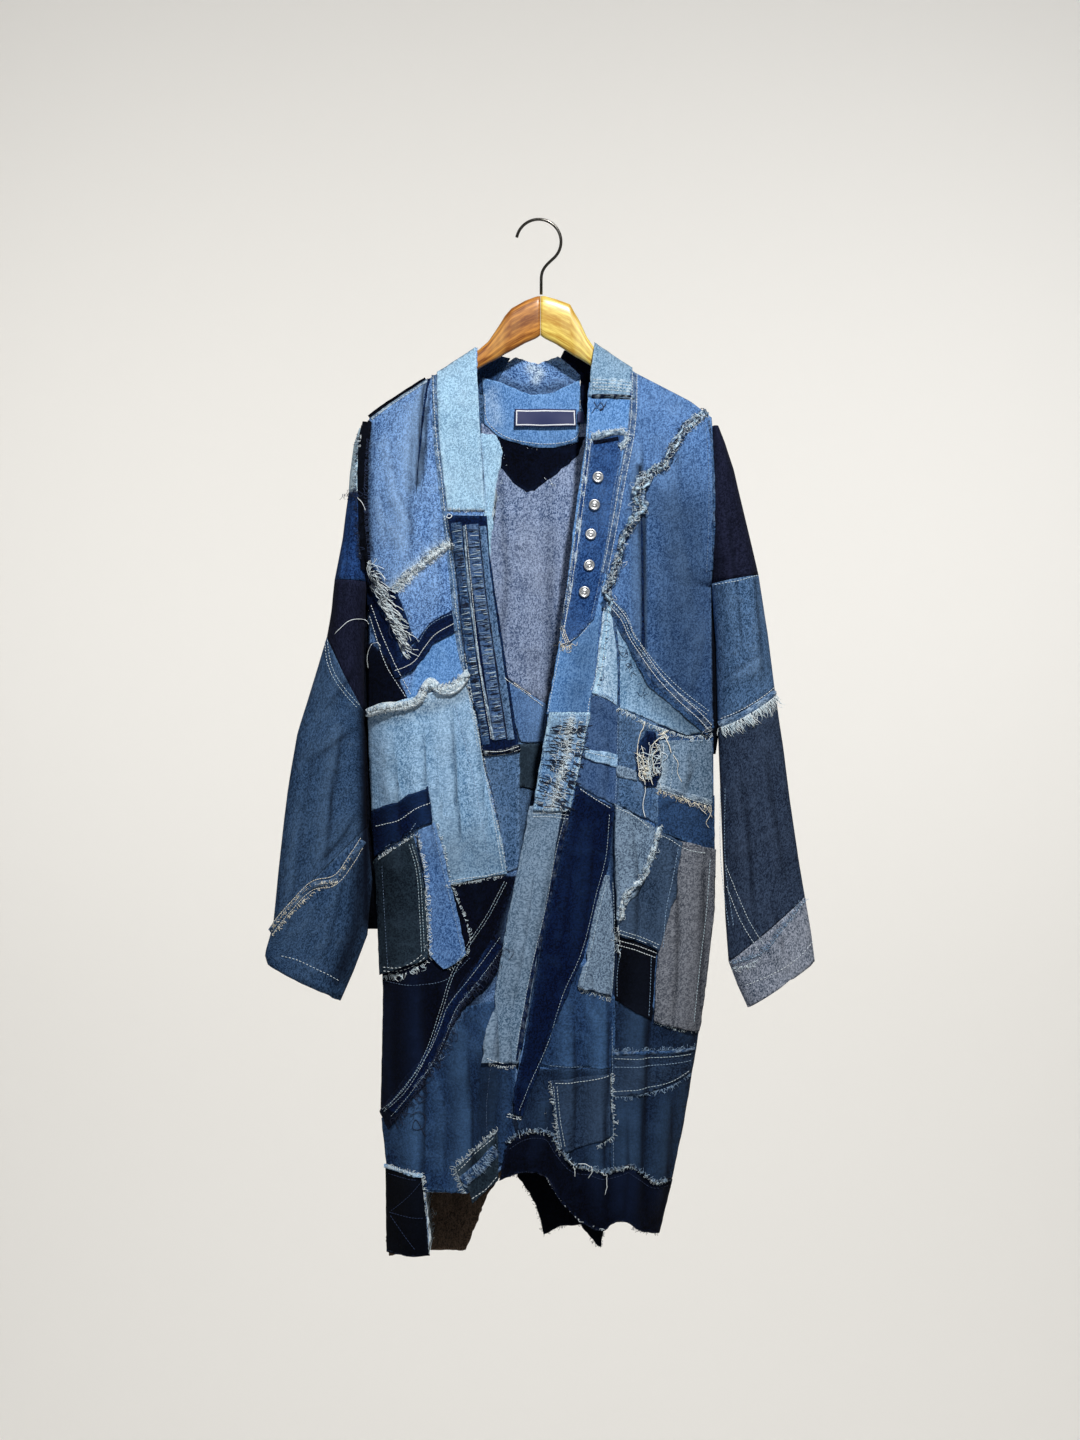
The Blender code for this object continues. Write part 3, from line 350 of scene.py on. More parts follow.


def denim(name, deep, face, pale, wash=0.3, crumple=1.0, wear_and_highlight=0.7):
    """One wash of denim: its dyed warp, its face, its worn colour, and how much each shows."""
    made, tree, shader = new_finish(name, 0.88)
    shader.inputs["Specular IOR Level"].default_value = 0.06
    shader.inputs["Sheen Weight"].default_value = 0.006
    shader.inputs["Sheen Roughness"].default_value = 0.6
    cut = add(tree, "UVMap", {"uv_map": "cut"}).outputs["UV"]
    value = {key: add(tree, "Attribute", {"attribute_name": key}).outputs["Fac"]
             for key in ("inset", "ridge", "bleach", "painted_shade_and_darkening")}
    twill_way = add(tree, "Mapping",
                    {"Rotation": (0, 0, 0.6), "Scale": (1 / TWILL_WIDTH, 1 / TWILL_LENGTH, 1)},
                    {"Vector": cut})
    slub_way = add(tree, "Mapping", {"Scale": (1 / SLUB_WIDTH, 1 / SLUB_LENGTH, 1)}, {"Vector": cut})
    twill = add(tree, "TexNoise", {"Scale": 1.0, "Detail": 2.0}, {"Vector": twill_way.outputs[0]})
    slub = add(tree, "TexNoise", {"Scale": 1.0, "Detail": 3.0}, {"Vector": slub_way.outputs[0]})
    fleck = add(tree, "TexVoronoi", {"voronoi_dimensions": "2D", "Scale": 1 / FLECK}, {"Vector": cut})
    cloud = add(tree, "TexNoise", {"Scale": 11.0, "Detail": 4.0, "Roughness": 0.6}, {"Vector": cut})
    crush = add(tree, "TexNoise", {"Scale": 42.0, "Detail": 4.0, "Roughness": 0.6, "Distortion": 0.6},
                {"Vector": cut})

    lines = add(tree, "Mix", {"data_type": "FLOAT", 0: 0.4},
                {2: twill.outputs["Fac"], 3: slub.outputs["Fac"]})
    threads = add(tree, "Mix", {"data_type": "FLOAT", 0: 0.42},
                  {2: lines.outputs[0], 3: fleck.outputs["Color"]})
    face_share = add(tree, "MapRange", {"From Min": 0.38, "From Max": 0.62},
                     {"Value": threads.outputs[0]})
    blue = add(tree, "MixRGB", {"Color1": colour(deep), "Color2": colour(face)},
               {"Fac": face_share.outputs[0]})
    clouds = add(tree, "MapRange", {"From Min": 0.42, "From Max": 0.72, "To Max": wash},
                 {"Value": cloud.outputs["Fac"]})
    crushed = add(tree, "MapRange", {"From Min": 0.54, "From Max": 0.74, "To Max": 0.35 * wear_and_highlight},
                  {"Value": crush.outputs["Fac"]})
    # Fold tops are lightened: partly wear, partly a painted highlight that makes the folds show.
    ridge_wear_and_highlight = add(tree, "MapRange", {"From Min": 1.5, "From Max": 8.0, "To Max": 0.6 * wear_and_highlight},
                 {"Value": value["ridge"]})
    near_edge = add(tree, "MapRange",
                    {"From Min": 0.4, "From Max": 5.0, "To Min": 0.85 * wear_and_highlight, "To Max": 0.0},
                    {"Value": value["inset"]})
    rubbed = add(tree, "Math", {"operation": "MULTIPLY"},
                 {0: near_edge.outputs[0], 1: face_share.outputs[0]})
    for share in (clouds.outputs[0], crushed.outputs[0], ridge_wear_and_highlight.outputs[0], rubbed.outputs[0]):
        blue = add(tree, "MixRGB", {"Color2": colour(pale)}, {"Fac": share, "Color1": blue.outputs[0]})
    patchy = add(tree, "MapRange", {"From Min": 0.3, "From Max": 0.62}, {"Value": threads.outputs[0]})
    bleached = add(tree, "Math", {"operation": "MULTIPLY", "use_clamp": True},
                   {0: value["bleach"], 1: patchy.outputs[0]})
    blue = add(tree, "MixRGB", {"Color2": colour(WEFT)},
               {"Fac": bleached.outputs[0], "Color1": blue.outputs[0]})
    # Painted shade and the other dark marks turn the cloth towards near-black navy.
    shaded_and_darkened = add(tree, "MixRGB", {"Color2": colour(SHADE_AND_DARKENING_NAVY)}, {"Fac": value["painted_shade_and_darkening"], "Color1": blue.outputs[0]})
    tree.links.new(shaded_and_darkened.outputs[0], shader.inputs["Base Color"])

    crumpled = add(tree, "Bump", {"Strength": 0.55, "Distance": 0.0042 * crumple},
                   {"Height": crush.outputs["Fac"]})
    woven = add(tree, "Bump", {"Strength": 0.5, "Distance": 0.0007},
                {"Height": lines.outputs[0], "Normal": crumpled.outputs[0]})
    tree.links.new(woven.outputs[0], shader.inputs["Normal"])
    return made


WASHES = [    # name, deep dye, face and worn colour; then cloudiness, crumple, and wear with the painted fold-top highlight
    ("denim_heather_blue", "1f4277", "7da8e2", "a3c4ea", 0.2),
    ("denim_ice_blue", "7196b6", "abd4ef", "bfd6e8", 0.2, 0.6, 0.4),
    ("denim_frost_blue", "9fc3dc", "e0f5ff", "e6f4fc", 0.2, 0.6, 0.3),
    ("denim_bleached", "8ba4b8", "dde9ee", "f2f6f7", 0.3, 0.8, 0.6),
    ("denim_sky_blue", "4c769d", "9fc5e8", "b6d2ec", 0.3, 1.1, 0.5),
    ("denim_tuck_blue", "446987", "8babc9", "a0b9cd", 0.3, 1.1, 0.5),
    ("denim_mid_blue", "223b63", "496691", "617b9c", 0.2, 1.0, 0.5),
    ("denim_bright_blue", "3c6aa3", "75a3dc", "88b3e0", 0.2, 1.0, 0.5),
    ("denim_steel_blue", "1a3451", "5778a2", "84a3c8", 0.15, 1.2, 0.5),
    ("denim_night_blue", "0e1e38", "2c4872", "5a82b1", 0.15, 1.2, 0.5),
    ("denim_shoulder_blue", "254677", "628ac1", "85aad7", 0.2, 1.0, 0.5),
    ("denim_gathered_blue", "2a4c78", "779fc9", "d2f3ff", 0.2, 1.2, 0.8),
    ("denim_fly_blue", "0f2956", "355a92", "6b91c3", 0.2, 1.0, 0.5),
    ("denim_sleeve_indigo", "13273f", "3d597e", "6581a1", 0.15, 1.2, 0.5),
    ("denim_midnight_blue", "081223", "1e304d", "446185", 0.12, 1.2, 0.5),
    ("denim_cuff_grey", "364456", "a1a8b9", "b6bcc8", 0.2, 0.9, 0.4),
    ("denim_inner_heather", "3a5076", "9dafd0", "b4bdd0", 0.2, 0.8, 0.3),
    ("denim_grey_blue", "33465e", "849cb4", "94a9c0", 0.2, 0.8, 0.4),
    ("denim_violet_blue", "39556e", "829ab4", "97acc2", 0.2, 0.8, 0.4),
    ("denim_grey_brown", "3a404c", "818690", "9396a1", 0.2, 0.9, 0.3),
    ("denim_worn_indigo", "142336", "3c506b", "59708d", 0.2, 1.0, 0.5),
    ("denim_raw_indigo", "0a1c40", "274880", "426aa5", 0.12, 1.0, 0.8),
    ("denim_dark_navy", "010206", "050a1d", "1a2949", 0.08, 1.0, 0.6),
    ("denim_deep_navy", "02061a", "08193e", "24406b", 0.08, 1.0, 0.6),
    ("denim_slub_navy", "0e172a", "394860", "52627d", 0.15, 1.2, 0.5),
    ("denim_green_black", "0c1621", "24323e", "4c6073", 0.15, 1.0, 0.6),
    ("denim_mottled_blue", "0b172a", "2c3f5b", "455b78", 0.3, 1.0, 0.6),
    ("twill_black", "010205", "050813", "141b2a", 0.1, 1.0, 0.5),
    ("twill_brown_black", "2f2823", "605044", "927b68", 0.2, 1.0, 0.3),
    ("twill_purple_black", "0a0d1d", "1e2237", "292c49", 0.15, 1.2, 0.3),
]
DENIM = {name.split("_", 1)[1]: denim(name, *wash) for name, *wash in WASHES}
print("denims:", len(DENIM))


# %% [markdown]
# ## Cotton thread
# Top-stitching and the frayed weft are spun cotton: matt, soft and nearly white where the dye never
# reached. Each thread carries its own tone, from blue to cream, because a torn edge shows both.

# %% Cotton thread
def cotton(name, dark, light):
    made, tree, shader = new_finish(name, 0.95)
    tone = add(tree, "Attribute", {"attribute_name": "tone"})
    mixed = add(tree, "MixRGB", {"Color1": colour(dark), "Color2": colour(light)},
                {"Fac": tone.outputs["Fac"]})
    tree.links.new(mixed.outputs[0], shader.inputs["Base Color"])
    return made


COTTON = {
    "white": cotton("cotton_white", "a8cade", "f6fdff"),
    "cream": cotton("cotton_cream", "cdc8b2", "fdf8e8"),
    "blue": cotton("cotton_blue", "22365c", "a8c8e8"),
    "navy": cotton("cotton_navy", "0b1122", "2c3d60"),
}

# %% [markdown]
# ## Cutting a sheet
# A piece is written down as a cutter would chalk it: rows across the piece, each from a point on its
# left edge to a point on its right edge, in millimetres as seen from the front. The rows make a closed
# outline. The outline is roughened a little, because torn denim is never straight, and cut along a
# square grid, so that the sheet has enough points to bend. Then each point is laid on the cloth.

# %% From rows to a flat sheet cut on a grid
def settled(x, z):
    """A point of a row, with SIDE and TOP replaced by where the side seam and shoulder line are."""
    if abs(x) == SIDE:
        x = float(on_table(LEFT_EDGE if x < 0 else RIGHT_EDGE, z))
    return x, float(on_table(SHOULDER, x)) if z == TOP else z


def outline(rows, raw, seed):
    """The closed outline of a piece, roughened by raw millimetres except at the seams of the coat."""
    corners = [(r[0], r[1]) for r in rows] + [(r[2], r[3]) for r in reversed(rows)]
    found = []
    for a, b in zip(corners, corners[1:] + corners[:1]):
        on_side, on_top = a[0] == b[0] and abs(a[0]) == SIDE, a[1] == b[1] == TOP
        (x1, z1), (x2, z2) = settled(*a), settled(*b)
        count = max(1, round(math.hypot(x2 - x1, z2 - z1) / 4.0))
        for t in np.arange(count) / count:
            x, z = x1 + (x2 - x1) * t, z1 + (z2 - z1) * t
            if on_side:
                x = settled(a[0], z)[0]
            elif on_top:
                z = settled(x, TOP)[1]
            elif raw:
                x += raw * float(hills(x, z, 5.0, seed))
                z += raw * float(hills(x, z, 5.0, seed + 1))
            x = min(max(x, settled(-SIDE, z)[0]), settled(SIDE, z)[0])
            found.append((x, min(z, settled(x, TOP)[1])))
    return found


def cut_on_grid(loop, step):
    bm = bmesh.new()
    face = bm.faces.new([bm.verts.new((x, z, 0)) for x, z in loop])
    bm.normal_update()
    if face.normal.z < 0:
        face.normal_flip()
    points = np.array(loop)
    for axis, across in ((1, (0, 1, 0)), (0, (1, 0, 0))):
        first, last = points[:, axis].min() / step, points[:, axis].max() / step
        for k in range(math.ceil(first), math.floor(last) + 1):
            bmesh.ops.bisect_plane(bm, geom=bm.verts[:] + bm.edges[:] + bm.faces[:], dist=1e-4,
                                   plane_co=[k * step * c for c in across], plane_no=across)
    bmesh.ops.remove_doubles(bm, verts=bm.verts, dist=0.25)
    return bm


# %% [markdown]
# ## Marks on the cloth
# Some of the bleach, shredding and darkening follows no edge. It is painted with a few soft strokes, each
# with its own width, on whatever piece lies there. Many of the dark strokes are painted shade, and each
# of those says so; the others darken the cloth.

# %% Bleach, darkening and painted shade
Mark = namedtuple("Mark", "kind pieces path width strength")
MARKS = [Mark(*row) for row in [
    ("bleach", "front_left", [-208, -412, -202, -436, -186, -470, -166, -508], 6, 0.8),
    ("bleach", "front_left", [-180, -450, -158, -430, -130, -404, -104, -388], 7, 0.9),
    ("bleach", "panel_light_left", [-203, -592, -150, -582, -90, -562], 14, 0.5),
    ("bleach", "gusset_right", [80, -468, 76, -540, 80, -570], 12, 0.5),
    ("bleach", "patch_ripped_right", [141, -630, 145, -655, 142, -676], 6, 0.6),
    ("bleach", "band_right_smocked", [38, -598, 30, -650, 15, -704], 5, 1.0),
    ("bleach", "neck_stand", [-10, -172, 0, -178, -4, -186], 6, 0.9),
    # painted shade: the lower part of the neck stand, in the shade of its own fold
    ("painted_shade_and_darkening", "neck_stand", [-44, -190, -20, -200, 10, -199, 22, -196, 40, -196], 9, 0.6),
    # painted shade: the lower part of the sky-blue panel, darker where its folds shade it
    ("painted_shade_and_darkening", "panel_light_left", [-130, -770, -90, -755, -50, -770], 40, 0.4),
    ("painted_shade_and_darkening", "panel_light_left", [-95, -742, -93, -744], 3.5, 0.35),
    ("painted_shade_and_darkening", "panel_lower_left", [-138, -1075, -137, -1076], 4.0, 0.6),
    ("painted_shade_and_darkening", "front_left", [-205, -250, -204, -400], 9, 0.8),
    ("painted_shade_and_darkening", "sleeve_left_lower", [-255, -819, -254, -821], 4.0, 0.5),
    # painted shade: the lower part of the right front's shoulder panel, darker as it faces away from the
    # light above
    ("painted_shade_and_darkening", "front_right", [172, -360, 164, -480, 170, -600], 50, 0.6),
    # painted shade: the dark line of the right pleat
    ("painted_shade_and_darkening", "front_right", [118, -300, 121, -400, 123, -517], 3.6, 1.0),
    # painted shade: the right front where it shows in the shaded gap between the grey band and the navy strip
    ("painted_shade_and_darkening", "front_right", [33, -704, 6, -830, -22, -960], 9, 1.0),
    ("painted_shade_and_darkening", "front_left", [-40, -800, -60, -880, -84, -925], 26, 1.0),
    ("bleach", "neck_facing", [-58, -205, -52, -236], 9, 0.35),
    ("painted_shade_and_darkening", "neck_facing", [-44, -262, 0, -271, 46, -264], 5, 0.45),
    ("painted_shade_and_darkening", "front_right", [90, -700, 90, -930], 8, 0.95),
    ("painted_shade_and_darkening", "front_right", [162, -740, 158, -820, 146, -900], 9, 0.95),
    # painted shade: the dark line of the pleat below the left shoulder
    ("painted_shade_and_darkening", "front_left", [-136, -196, -139, -240, -144, -320], 3.0, 0.9),
    # painted shade: the dark gap between the body and the left sleeve
    ("painted_shade_and_darkening", "panel_light_left strip_slant_left pocket_left sleeve_left_lower sleeve_left_cuff",
     [-208, -590, -208, -700, -207, -850], 8, 1.0),
    ("painted_shade_and_darkening", "panel_lower_left", [-56, -1000, -64, -1085], 20, 0.75),
    ("painted_shade_and_darkening", "gusset_right", [118, -500, 134, -556, 180, -606], 24, 0.62),
    # painted shade: the shade under the white ruffle
    ("painted_shade_and_darkening", "panel_light_left", [-196, -600, -128, -585, -84, -566], 9, 0.35),
    ("painted_shade_and_darkening", "panel_lower_left", [-90, -960, -104, -1100], 22, 0.35),
    ("painted_shade_and_darkening", "gusset_right", [110, -508, 140, -560, 184, -604], 9, 0.45),
    # painted shade: the deep shade below the end of the navy strip
    ("painted_shade_and_darkening", "front_right", [-30, -1052, -26, -1098], 14, 0.95),
    ("painted_shade_and_darkening", "front_right", [8, -1050, 12, -1100], 14, 0.95),
    # painted shade: the shaded inner edge of the left sleeve's lower part and cuff
    ("painted_shade_and_darkening", "sleeve_left_lower sleeve_left_cuff", [-212, -770, -216, -840, -238, -905], 13, 0.85),
    # painted shade: the shaded right side of the band below the fly
    ("painted_shade_and_darkening", "band_right_mid", [60, -500, 52, -545, 44, -590], 26, 0.4),
]]


def marked(kind, piece, x, z):
    """How strongly the marks of one kind show on a piece at x, z."""
    total = np.zeros(np.shape(x))
    for mark in MARKS:
        if mark.kind == kind and piece in mark.pieces.split():
            signed, _ = to_path(x, z, mark.path)
            total = np.maximum(total, mark.strength * np.exp(-(signed / mark.width) ** 2))
    return total


# %% [markdown]
# ## Laying a sheet
# The flat sheet gets its place, its thickness from a Solidify modifier, its thread direction as a UV
# map in metres, and the values that its denim reads.

# %% Laying a sheet on the coat
outer_cloth = []


def fill_values(mesh, values):
    """Writes one number per point for each named value."""
    for key, numbers in values.items():
        mesh.attributes.new(key, "FLOAT", "POINT").data.foreach_set("value", np.asarray(numbers, np.float32))


def fill_cut(mesh, u, v, degrees):
    """The UV map named cut: metres on the flat cloth, with the warp turned by some degrees."""
    turn = math.radians(degrees)
    along = np.stack([u * math.cos(turn) + v * math.sin(turn), v * math.cos(turn) - u * math.sin(turn)], -1)
    corner = np.zeros(len(mesh.loops), np.int32)
    mesh.loops.foreach_get("vertex_index", corner)
    mesh.uv_layers.new(name="cut").data.foreach_set("uv", along[corner].astype(np.float32).ravel())


def grid_mesh(name, places, flipped=False):
    """A mesh over a grid of places in millimetres."""
    index = np.arange(places.size // 3).reshape(places.shape[:2])
    quads = np.stack([index[:-1, :-1], index[:-1, 1:], index[1:, 1:], index[1:, :-1]], -1).reshape(-1, 4)
    if flipped:
        quads = quads[:, ::-1]
    mesh = bpy.data.meshes.new(name)
    mesh.from_pydata((places.reshape(-1, 3) * MM).tolist(), [], quads.tolist())
    return mesh


def show(name, mesh, finish, node, thick=CLOTH):
    """Puts a mesh on the coat with its finish, and hides the imported solid that it stands for, if there is
    one.
    """
    mesh.materials.append(finish)
    mesh.shade_smooth()
    piece = bpy.data.objects.new(name, mesh)
    bpy.context.scene.collection.objects.link(piece)
    if thick:
        wall = piece.modifiers.new("cloth", "SOLIDIFY")
        wall.thickness, wall.offset, wall.use_even_offset = thick * MM, -1, False
    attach(piece, "root")
    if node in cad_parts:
        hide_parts(node)
    return piece


def lay(side, wrapped, node, layer, finish, rows, grain=0, step=4.0, raw=0.7, shape=None):
    """Cuts a piece and lays it on one side of the coat, wrapped over the left front or not. Each
    of its rows holds x, z of the left end and of the right one. shape(x, z, inset) lifts it further."""
    seed = sum(map(ord, node))
    loop = outline(rows, raw, seed)
    flat = cut_on_grid(loop, step)
    x, z = np.array([v.co[:2] for v in flat.verts]).T
    rim = KDTree(len(loop))
    for i, (a, b) in enumerate(loop):
        rim.insert((a, b, 0), i)
    rim.balance()
    inset = np.array([rim.find((a, b, 0))[2] for a, b in zip(x, z)])
    pucker = 0.5 * (1 + hills(x, z, 8.0, seed)) * np.exp(-inset / 7) * (layer > 0)
    lift = layer * LAYER + CLOTH + pucker + (shape(x, z, inset) if shape else 0.0)
    for vert, place in zip(flat.verts, lie(side, x, z, lift, wrapped) * MM):
        vert.co = place
    if side == "back":
        bmesh.ops.reverse_faces(flat, faces=flat.faces)
    mesh = bpy.data.meshes.new(node)
    flat.to_mesh(mesh)
    flat.free()
    folds = FRONT_FOLDS if side == "front" else BACK_FOLDS
    # The dark value holds painted shade, from the shade strokes among the marks and from creases, and the
    # other dark marks; the fold height also lightens fold tops, partly as a painted highlight.
    fill_values(mesh, {"inset": inset, "ridge": folded(folds, x, z), "bleach": marked("bleach", node, x, z),
                       "painted_shade_and_darkening": np.maximum(marked("painted_shade_and_darkening", node, x, z), painted_crease_shade(folds, x, z))})
    fill_cut(mesh, x * MM + 0.01 * seed, z * MM, grain)
    piece = show(node + "_cloth", mesh, DENIM[finish], node)
    outer_cloth.append(mesh)
    return piece


lay_left, lay_right = partial(lay, "front", False), partial(lay, "front", True)
lay_back = partial(lay, "back", False)

# %% [markdown]
# ## The back and the fronts
# Four whole sheets carry the coat: two fronts and a back sewn from five pieces across. They are made
# first, because every patch lies on them. The right front wraps over the left one below the waist, so
# it is carried a few millimetres out. The back is cut on a coarser grid, for it has few small pieces.

# %% Fronts and back
lay_left("front_left", 0, "heather_blue", [(-SIDE, TOP, -74, TOP), (-SIDE, -263, -72, -263),
    (-SIDE, -350, -66, -350), (-SIDE, -407, -60, -407), (-SIDE, -635, -25, -635), (-SIDE, -760, -25, -760),
    (-SIDE, -1120, -27, -1120), (-SIDE, -1150, -83, -1157), (-SIDE, -1160, -134, -1156),
    (-SIDE, -1234, -130, -1231)], step=3.2)
lay_right("front_right", 0, "shoulder_blue", [(66, TOP, SIDE, TOP), (61, -220, SIDE, -225),
    (43, -368, SIDE, -368), (10, -599, SIDE, -599), (-9, -713, SIDE, -713), (-35, -839, SIDE, -839),
    (-20, -983, SIDE, -983), (-36, -1062, SIDE, -1062), (-12, -1126, SIDE, -1126), (14, -1140, 157, -1146),
    (40, -1178, 148, -1180)], step=3.2)
lay_back("back_upper", 0, "steel_blue", [(-SIDE, TOP, -SIDE, -500), (-76, TOP, -76, -534),
    (-66, -179, -66, -538), (-56, -190, -56, -541), (-41, -204, -41, -546), (-11, -212, -8, -568),
    (20, -210, 8, -581), (38, -204, 38, -592), (54, -190, 60, -600), (66, -178, 66, -600),
    (76, TOP, 76, -600), (SIDE, TOP, SIDE, -600)], step=5)
lay_back("back_middle", 0, "mottled_blue", [(-SIDE, -500.4, -SIDE, -639.6), (-42, -546.4, -42, -627),
    (8, -581.4, 2, -625.4), (60, -600.4, 60, -635), (SIDE, -600.4, SIDE, -661.6)], step=5)
lay_back("back_lower", 0, "steel_blue", [(-SIDE, -640.4, -SIDE, -1049.6), (-22, -626.4, -26, -1065.6),
    (2, -625.4, 20, -1059.6), (SIDE, -662.4, SIDE, -1039.6)], step=5)
lay_back("back_hem_left", 0, "brown_black", [(-SIDE, -1050.4, -SIDE, -1242), (-88, -1060.4, -89, -1243),
    (-66, -1063, -63, -1176), (-27, -1066.4, -27, -1126)], step=5, raw=1.2)
lay_back("back_hem_flap", 0, "black", [(-26, -1066.4, -26, -1154), (-4, -1063, -3, -1188),
    (6, -1062, 5, -1224), (22, -1060.4, 24, -1214), (50, -1058, 50, -1212), (72, -1056, 74, -1240),
    (84, -1054, 80, -1211), (110, -1050, 110, -1198), (SIDE, -1040.4, SIDE, -1194)], step=5, raw=1.2)

# %% [markdown]
# ## Neck
# A stand of pale denim closes the neck behind, a facing of the same hangs inside it, and a woven label
# is sewn to the facing. Its border is white thread; the middle is plain navy.

# %% Neck stand, facing and label
lay_back("neck_stand", 0, "heather_blue", [(-57, -181, -57, -185), (-41, -167, -41, -203.5),
    (-28, -160, -11, -211.5), (-1, -167, 5, -210.5), (23, -159, 20, -209.5), (38, -169, 38, -203.5),
    (51, -180, 51, -185)], grain=90, raw=1.0)


def inside(node, layer, finish, rows, **more):
    """A sheet on the inner face of the back: it is laid behind the cloth and faces the front."""
    piece = lay_back(node, layer, finish, rows, **more)
    piece.data.flip_normals()
    piece.modifiers["cloth"].offset = 1
    return piece


inside("neck_facing", -1.35, "bright_blue", [(-69, -184, -66, -241), (-44, -191, -44, -259),
    (-10, -205, -8, -268), (16, -203, 16, -269), (50, -186, 47, -262)])
# Beside the stand, two dark sheets reach up to the hanger: their night blue and near-black navy paint the
# shade on the inner side of the back neck.
lay_back("neck_side_left", -0.5, "night_blue", [(-77, TOP, -35, -161), (-75, -184, -48, -184),
    (-72, -204, -62, -203)], raw=0.3)
lay_back("neck_side_right", -0.5, "dark_navy", [(30, -152, 76, TOP), (26, -160, 75, -168),
    (38, -169.5, 75, -178), (50, -181, 74, -190), (50, -214, 70, -214), (57, -236, 66, -236)], raw=0.3)
print("sheets so far:", len(outer_cloth))

# %% [markdown]
# ## Patches of the left front
# From the shoulder down: a pale front band that turns to a dark old waistband below the chest, a
# curved dark strip, a broad sky-blue panel, a slanting strip and a pocket near the side seam, a dark
# panel with a flat-felled seam across it, and a black corner at the hem.

# %% Patches of the left front
lay_left("band_left_upper", 1, "ice_blue", [(-121, TOP, -75, TOP), (-119, -263, -70, -263),
    (-109, -351, -64, -351)], raw=0.3)
lay_left("band_left_waistband", 3, "deep_navy", [(-108, -358, -62, -358), (-99, -407, -58, -407),
    (-86, -551, -36, -551), (-65, -641, -23, -635)], grain=-8, raw=0.3)
lay_left("band_left_lower", 1, "steel_blue", [(-66, -643, -23, -637), (-47, -720, -23, -716),
    (-40, -778, -24, -774)], grain=-6)
lay_left("curved_strip_left", 2, "deep_navy", [(-101, -468, -95, -493), (-130, -484, -126, -510),
    (-144, -505, -136, -526), (-157, -521, -149, -541), (-174, -533, -169, -550)], grain=-60)
lay_left("patch_bright_left", 1, "bright_blue", [(-128, -500, -90, -480), (-143, -530, -86, -521),
    (-157, -575, -76, -575)])
lay_left("panel_light_left", 2, "sky_blue", [(-SIDE, -588, -85, -553), (-SIDE, -647, -66, -649),
    (-SIDE, -707, -54, -704), (-124, -721, -43, -745), (-109, -794, -38, -780)])
lay_left("strip_slant_left", 3, "deep_navy", [(-196, -708, -195, -764), (-167, -695, -163, -740),
    (-128, -677, -124, -716)], grain=-68)
lay_left("pocket_left", 4, "green_black", [(-193, -767, -145, -733), (-188, -821, -131, -821),
    (-185, -904, -130, -881)])
lay_left("strip_blue_left", 3, "shoulder_blue", [(-141, -729, -121, -719), (-134, -791, -104, -791),
    (-128, -877, -86, -875), (-112, -893, -107, -892)], grain=-10)
lay_left("panel_dark_left", 1, "dark_navy", [(-107, -785, -26, -783), (-119, -875, -61, -881),
    (-SIDE, -900, -92, -917), (-SIDE, -959, -119, -977), (-SIDE, -1064, -178, -1062)])
lay_left("felled_band_left", 2, "dark_navy", [(-50, -851, -38, -875), (-77, -887, -59, -911),
    (-110, -931, -92, -941), (-126, -980, -112, -985), (-163, -1032, -143, -1038),
    (-188, -1067, -176, -1087)], grain=40)
lay_left("panel_lower_left", 1, "night_blue", [(-86, -937, -28, -925), (-116, -989, -28, -989),
    (-150, -1036, -28, -1031), (-SIDE, -1076, -28, -1088), (-SIDE, -1134, -32, -1112),
    (-134, -1155, -83, -1156)], grain=12)
lay_left("waistband_hem_left", 2, "green_black", [(-98, -1126, -79, -1170), (-48, -1082, -48, -1142)],
    grain=40)
lay_left("corner_patch_left", 2, "black", [(-SIDE, -1134, -139, -1136), (-SIDE, -1187, -133, -1187),
    (-SIDE, -1236, -129, -1232)])
print("sheets so far:", len(outer_cloth))

# %% [markdown]
# ## Patches of the right front
# The right front band is pieced from four lengths: a pale top with tucks, a mid-blue middle under an
# old fly placket, a gathered length and a grey one with a dark strip beside it. Beyond it lie a curved
# strip, a pale gusset, a ripped patch and two pockets, and a dark hem piece closes the bottom.

# %% Patches of the right front
lay_right("band_right_top", 2, "tuck_blue", [(64, TOP, 109, TOP), (59, -216, 112, -219)])
lay_right("band_right_mid", 1, "bright_blue", [(59, -200, 111, -200), (55, -271, 107, -271),
    (41, -368, 88, -371), (29, -479, 72, -479), (9, -592, 60, -592)], grain=-9)
lay_right("band_right_smocked", 2, "gathered_blue", [(12, -590, 61, -590), (-8, -706, 37, -706)], grain=-10,
    step=2.6,
    shape=lambda x, z, inset: 2.2 * np.clip(inset / 4, 0, 1) * (0.5 + 0.5 * hills(x / 3.2, z, 4.6, 3)))
lay_right("band_right_grey", 1, "violet_blue", [(-11, -700, 29, -700), (-37, -839, 3, -839),
    (-58, -952, -14, -952), (-67, -1001, -25, -1004)], grain=-9)
lay_right("strip_navy_right", 2, "deep_navy", [(44, -677, 89, -703), (28, -755, 84, -764),
    (19, -791, 74, -802), (1, -877, 53, -875), (-18, -983, 13, -977), (-24, -1008, 1, -1008),
    (-36, -1062, -20, -1066)], grain=-12)
lay_right("fly_placket", 2, "fly_blue", [(63, -262, 102, -256), (54, -336, 92, -323), (46, -395, 84, -389),
    (41, -431, 77, -431), (29, -479, 65, -479), (25, -511, 38, -508)], grain=-9, raw=1.0)
lay_right("curved_strip_right", 2, "night_blue", [(74, -466, 84, -457), (92, -478, 103, -470),
    (94, -496, 109, -490), (108, -520, 121, -511), (128, -558, 141, -549), (160, -586, 168, -574),
    (197, -618, 206, -607)], grain=30)
lay_right("gusset_right", 1, "sky_blue", [(77, -462, 88, -467), (70, -515, 112, -512),
    (64, -568, 148, -565), (95, -584, 181, -592), (174, -617, 200, -613)])
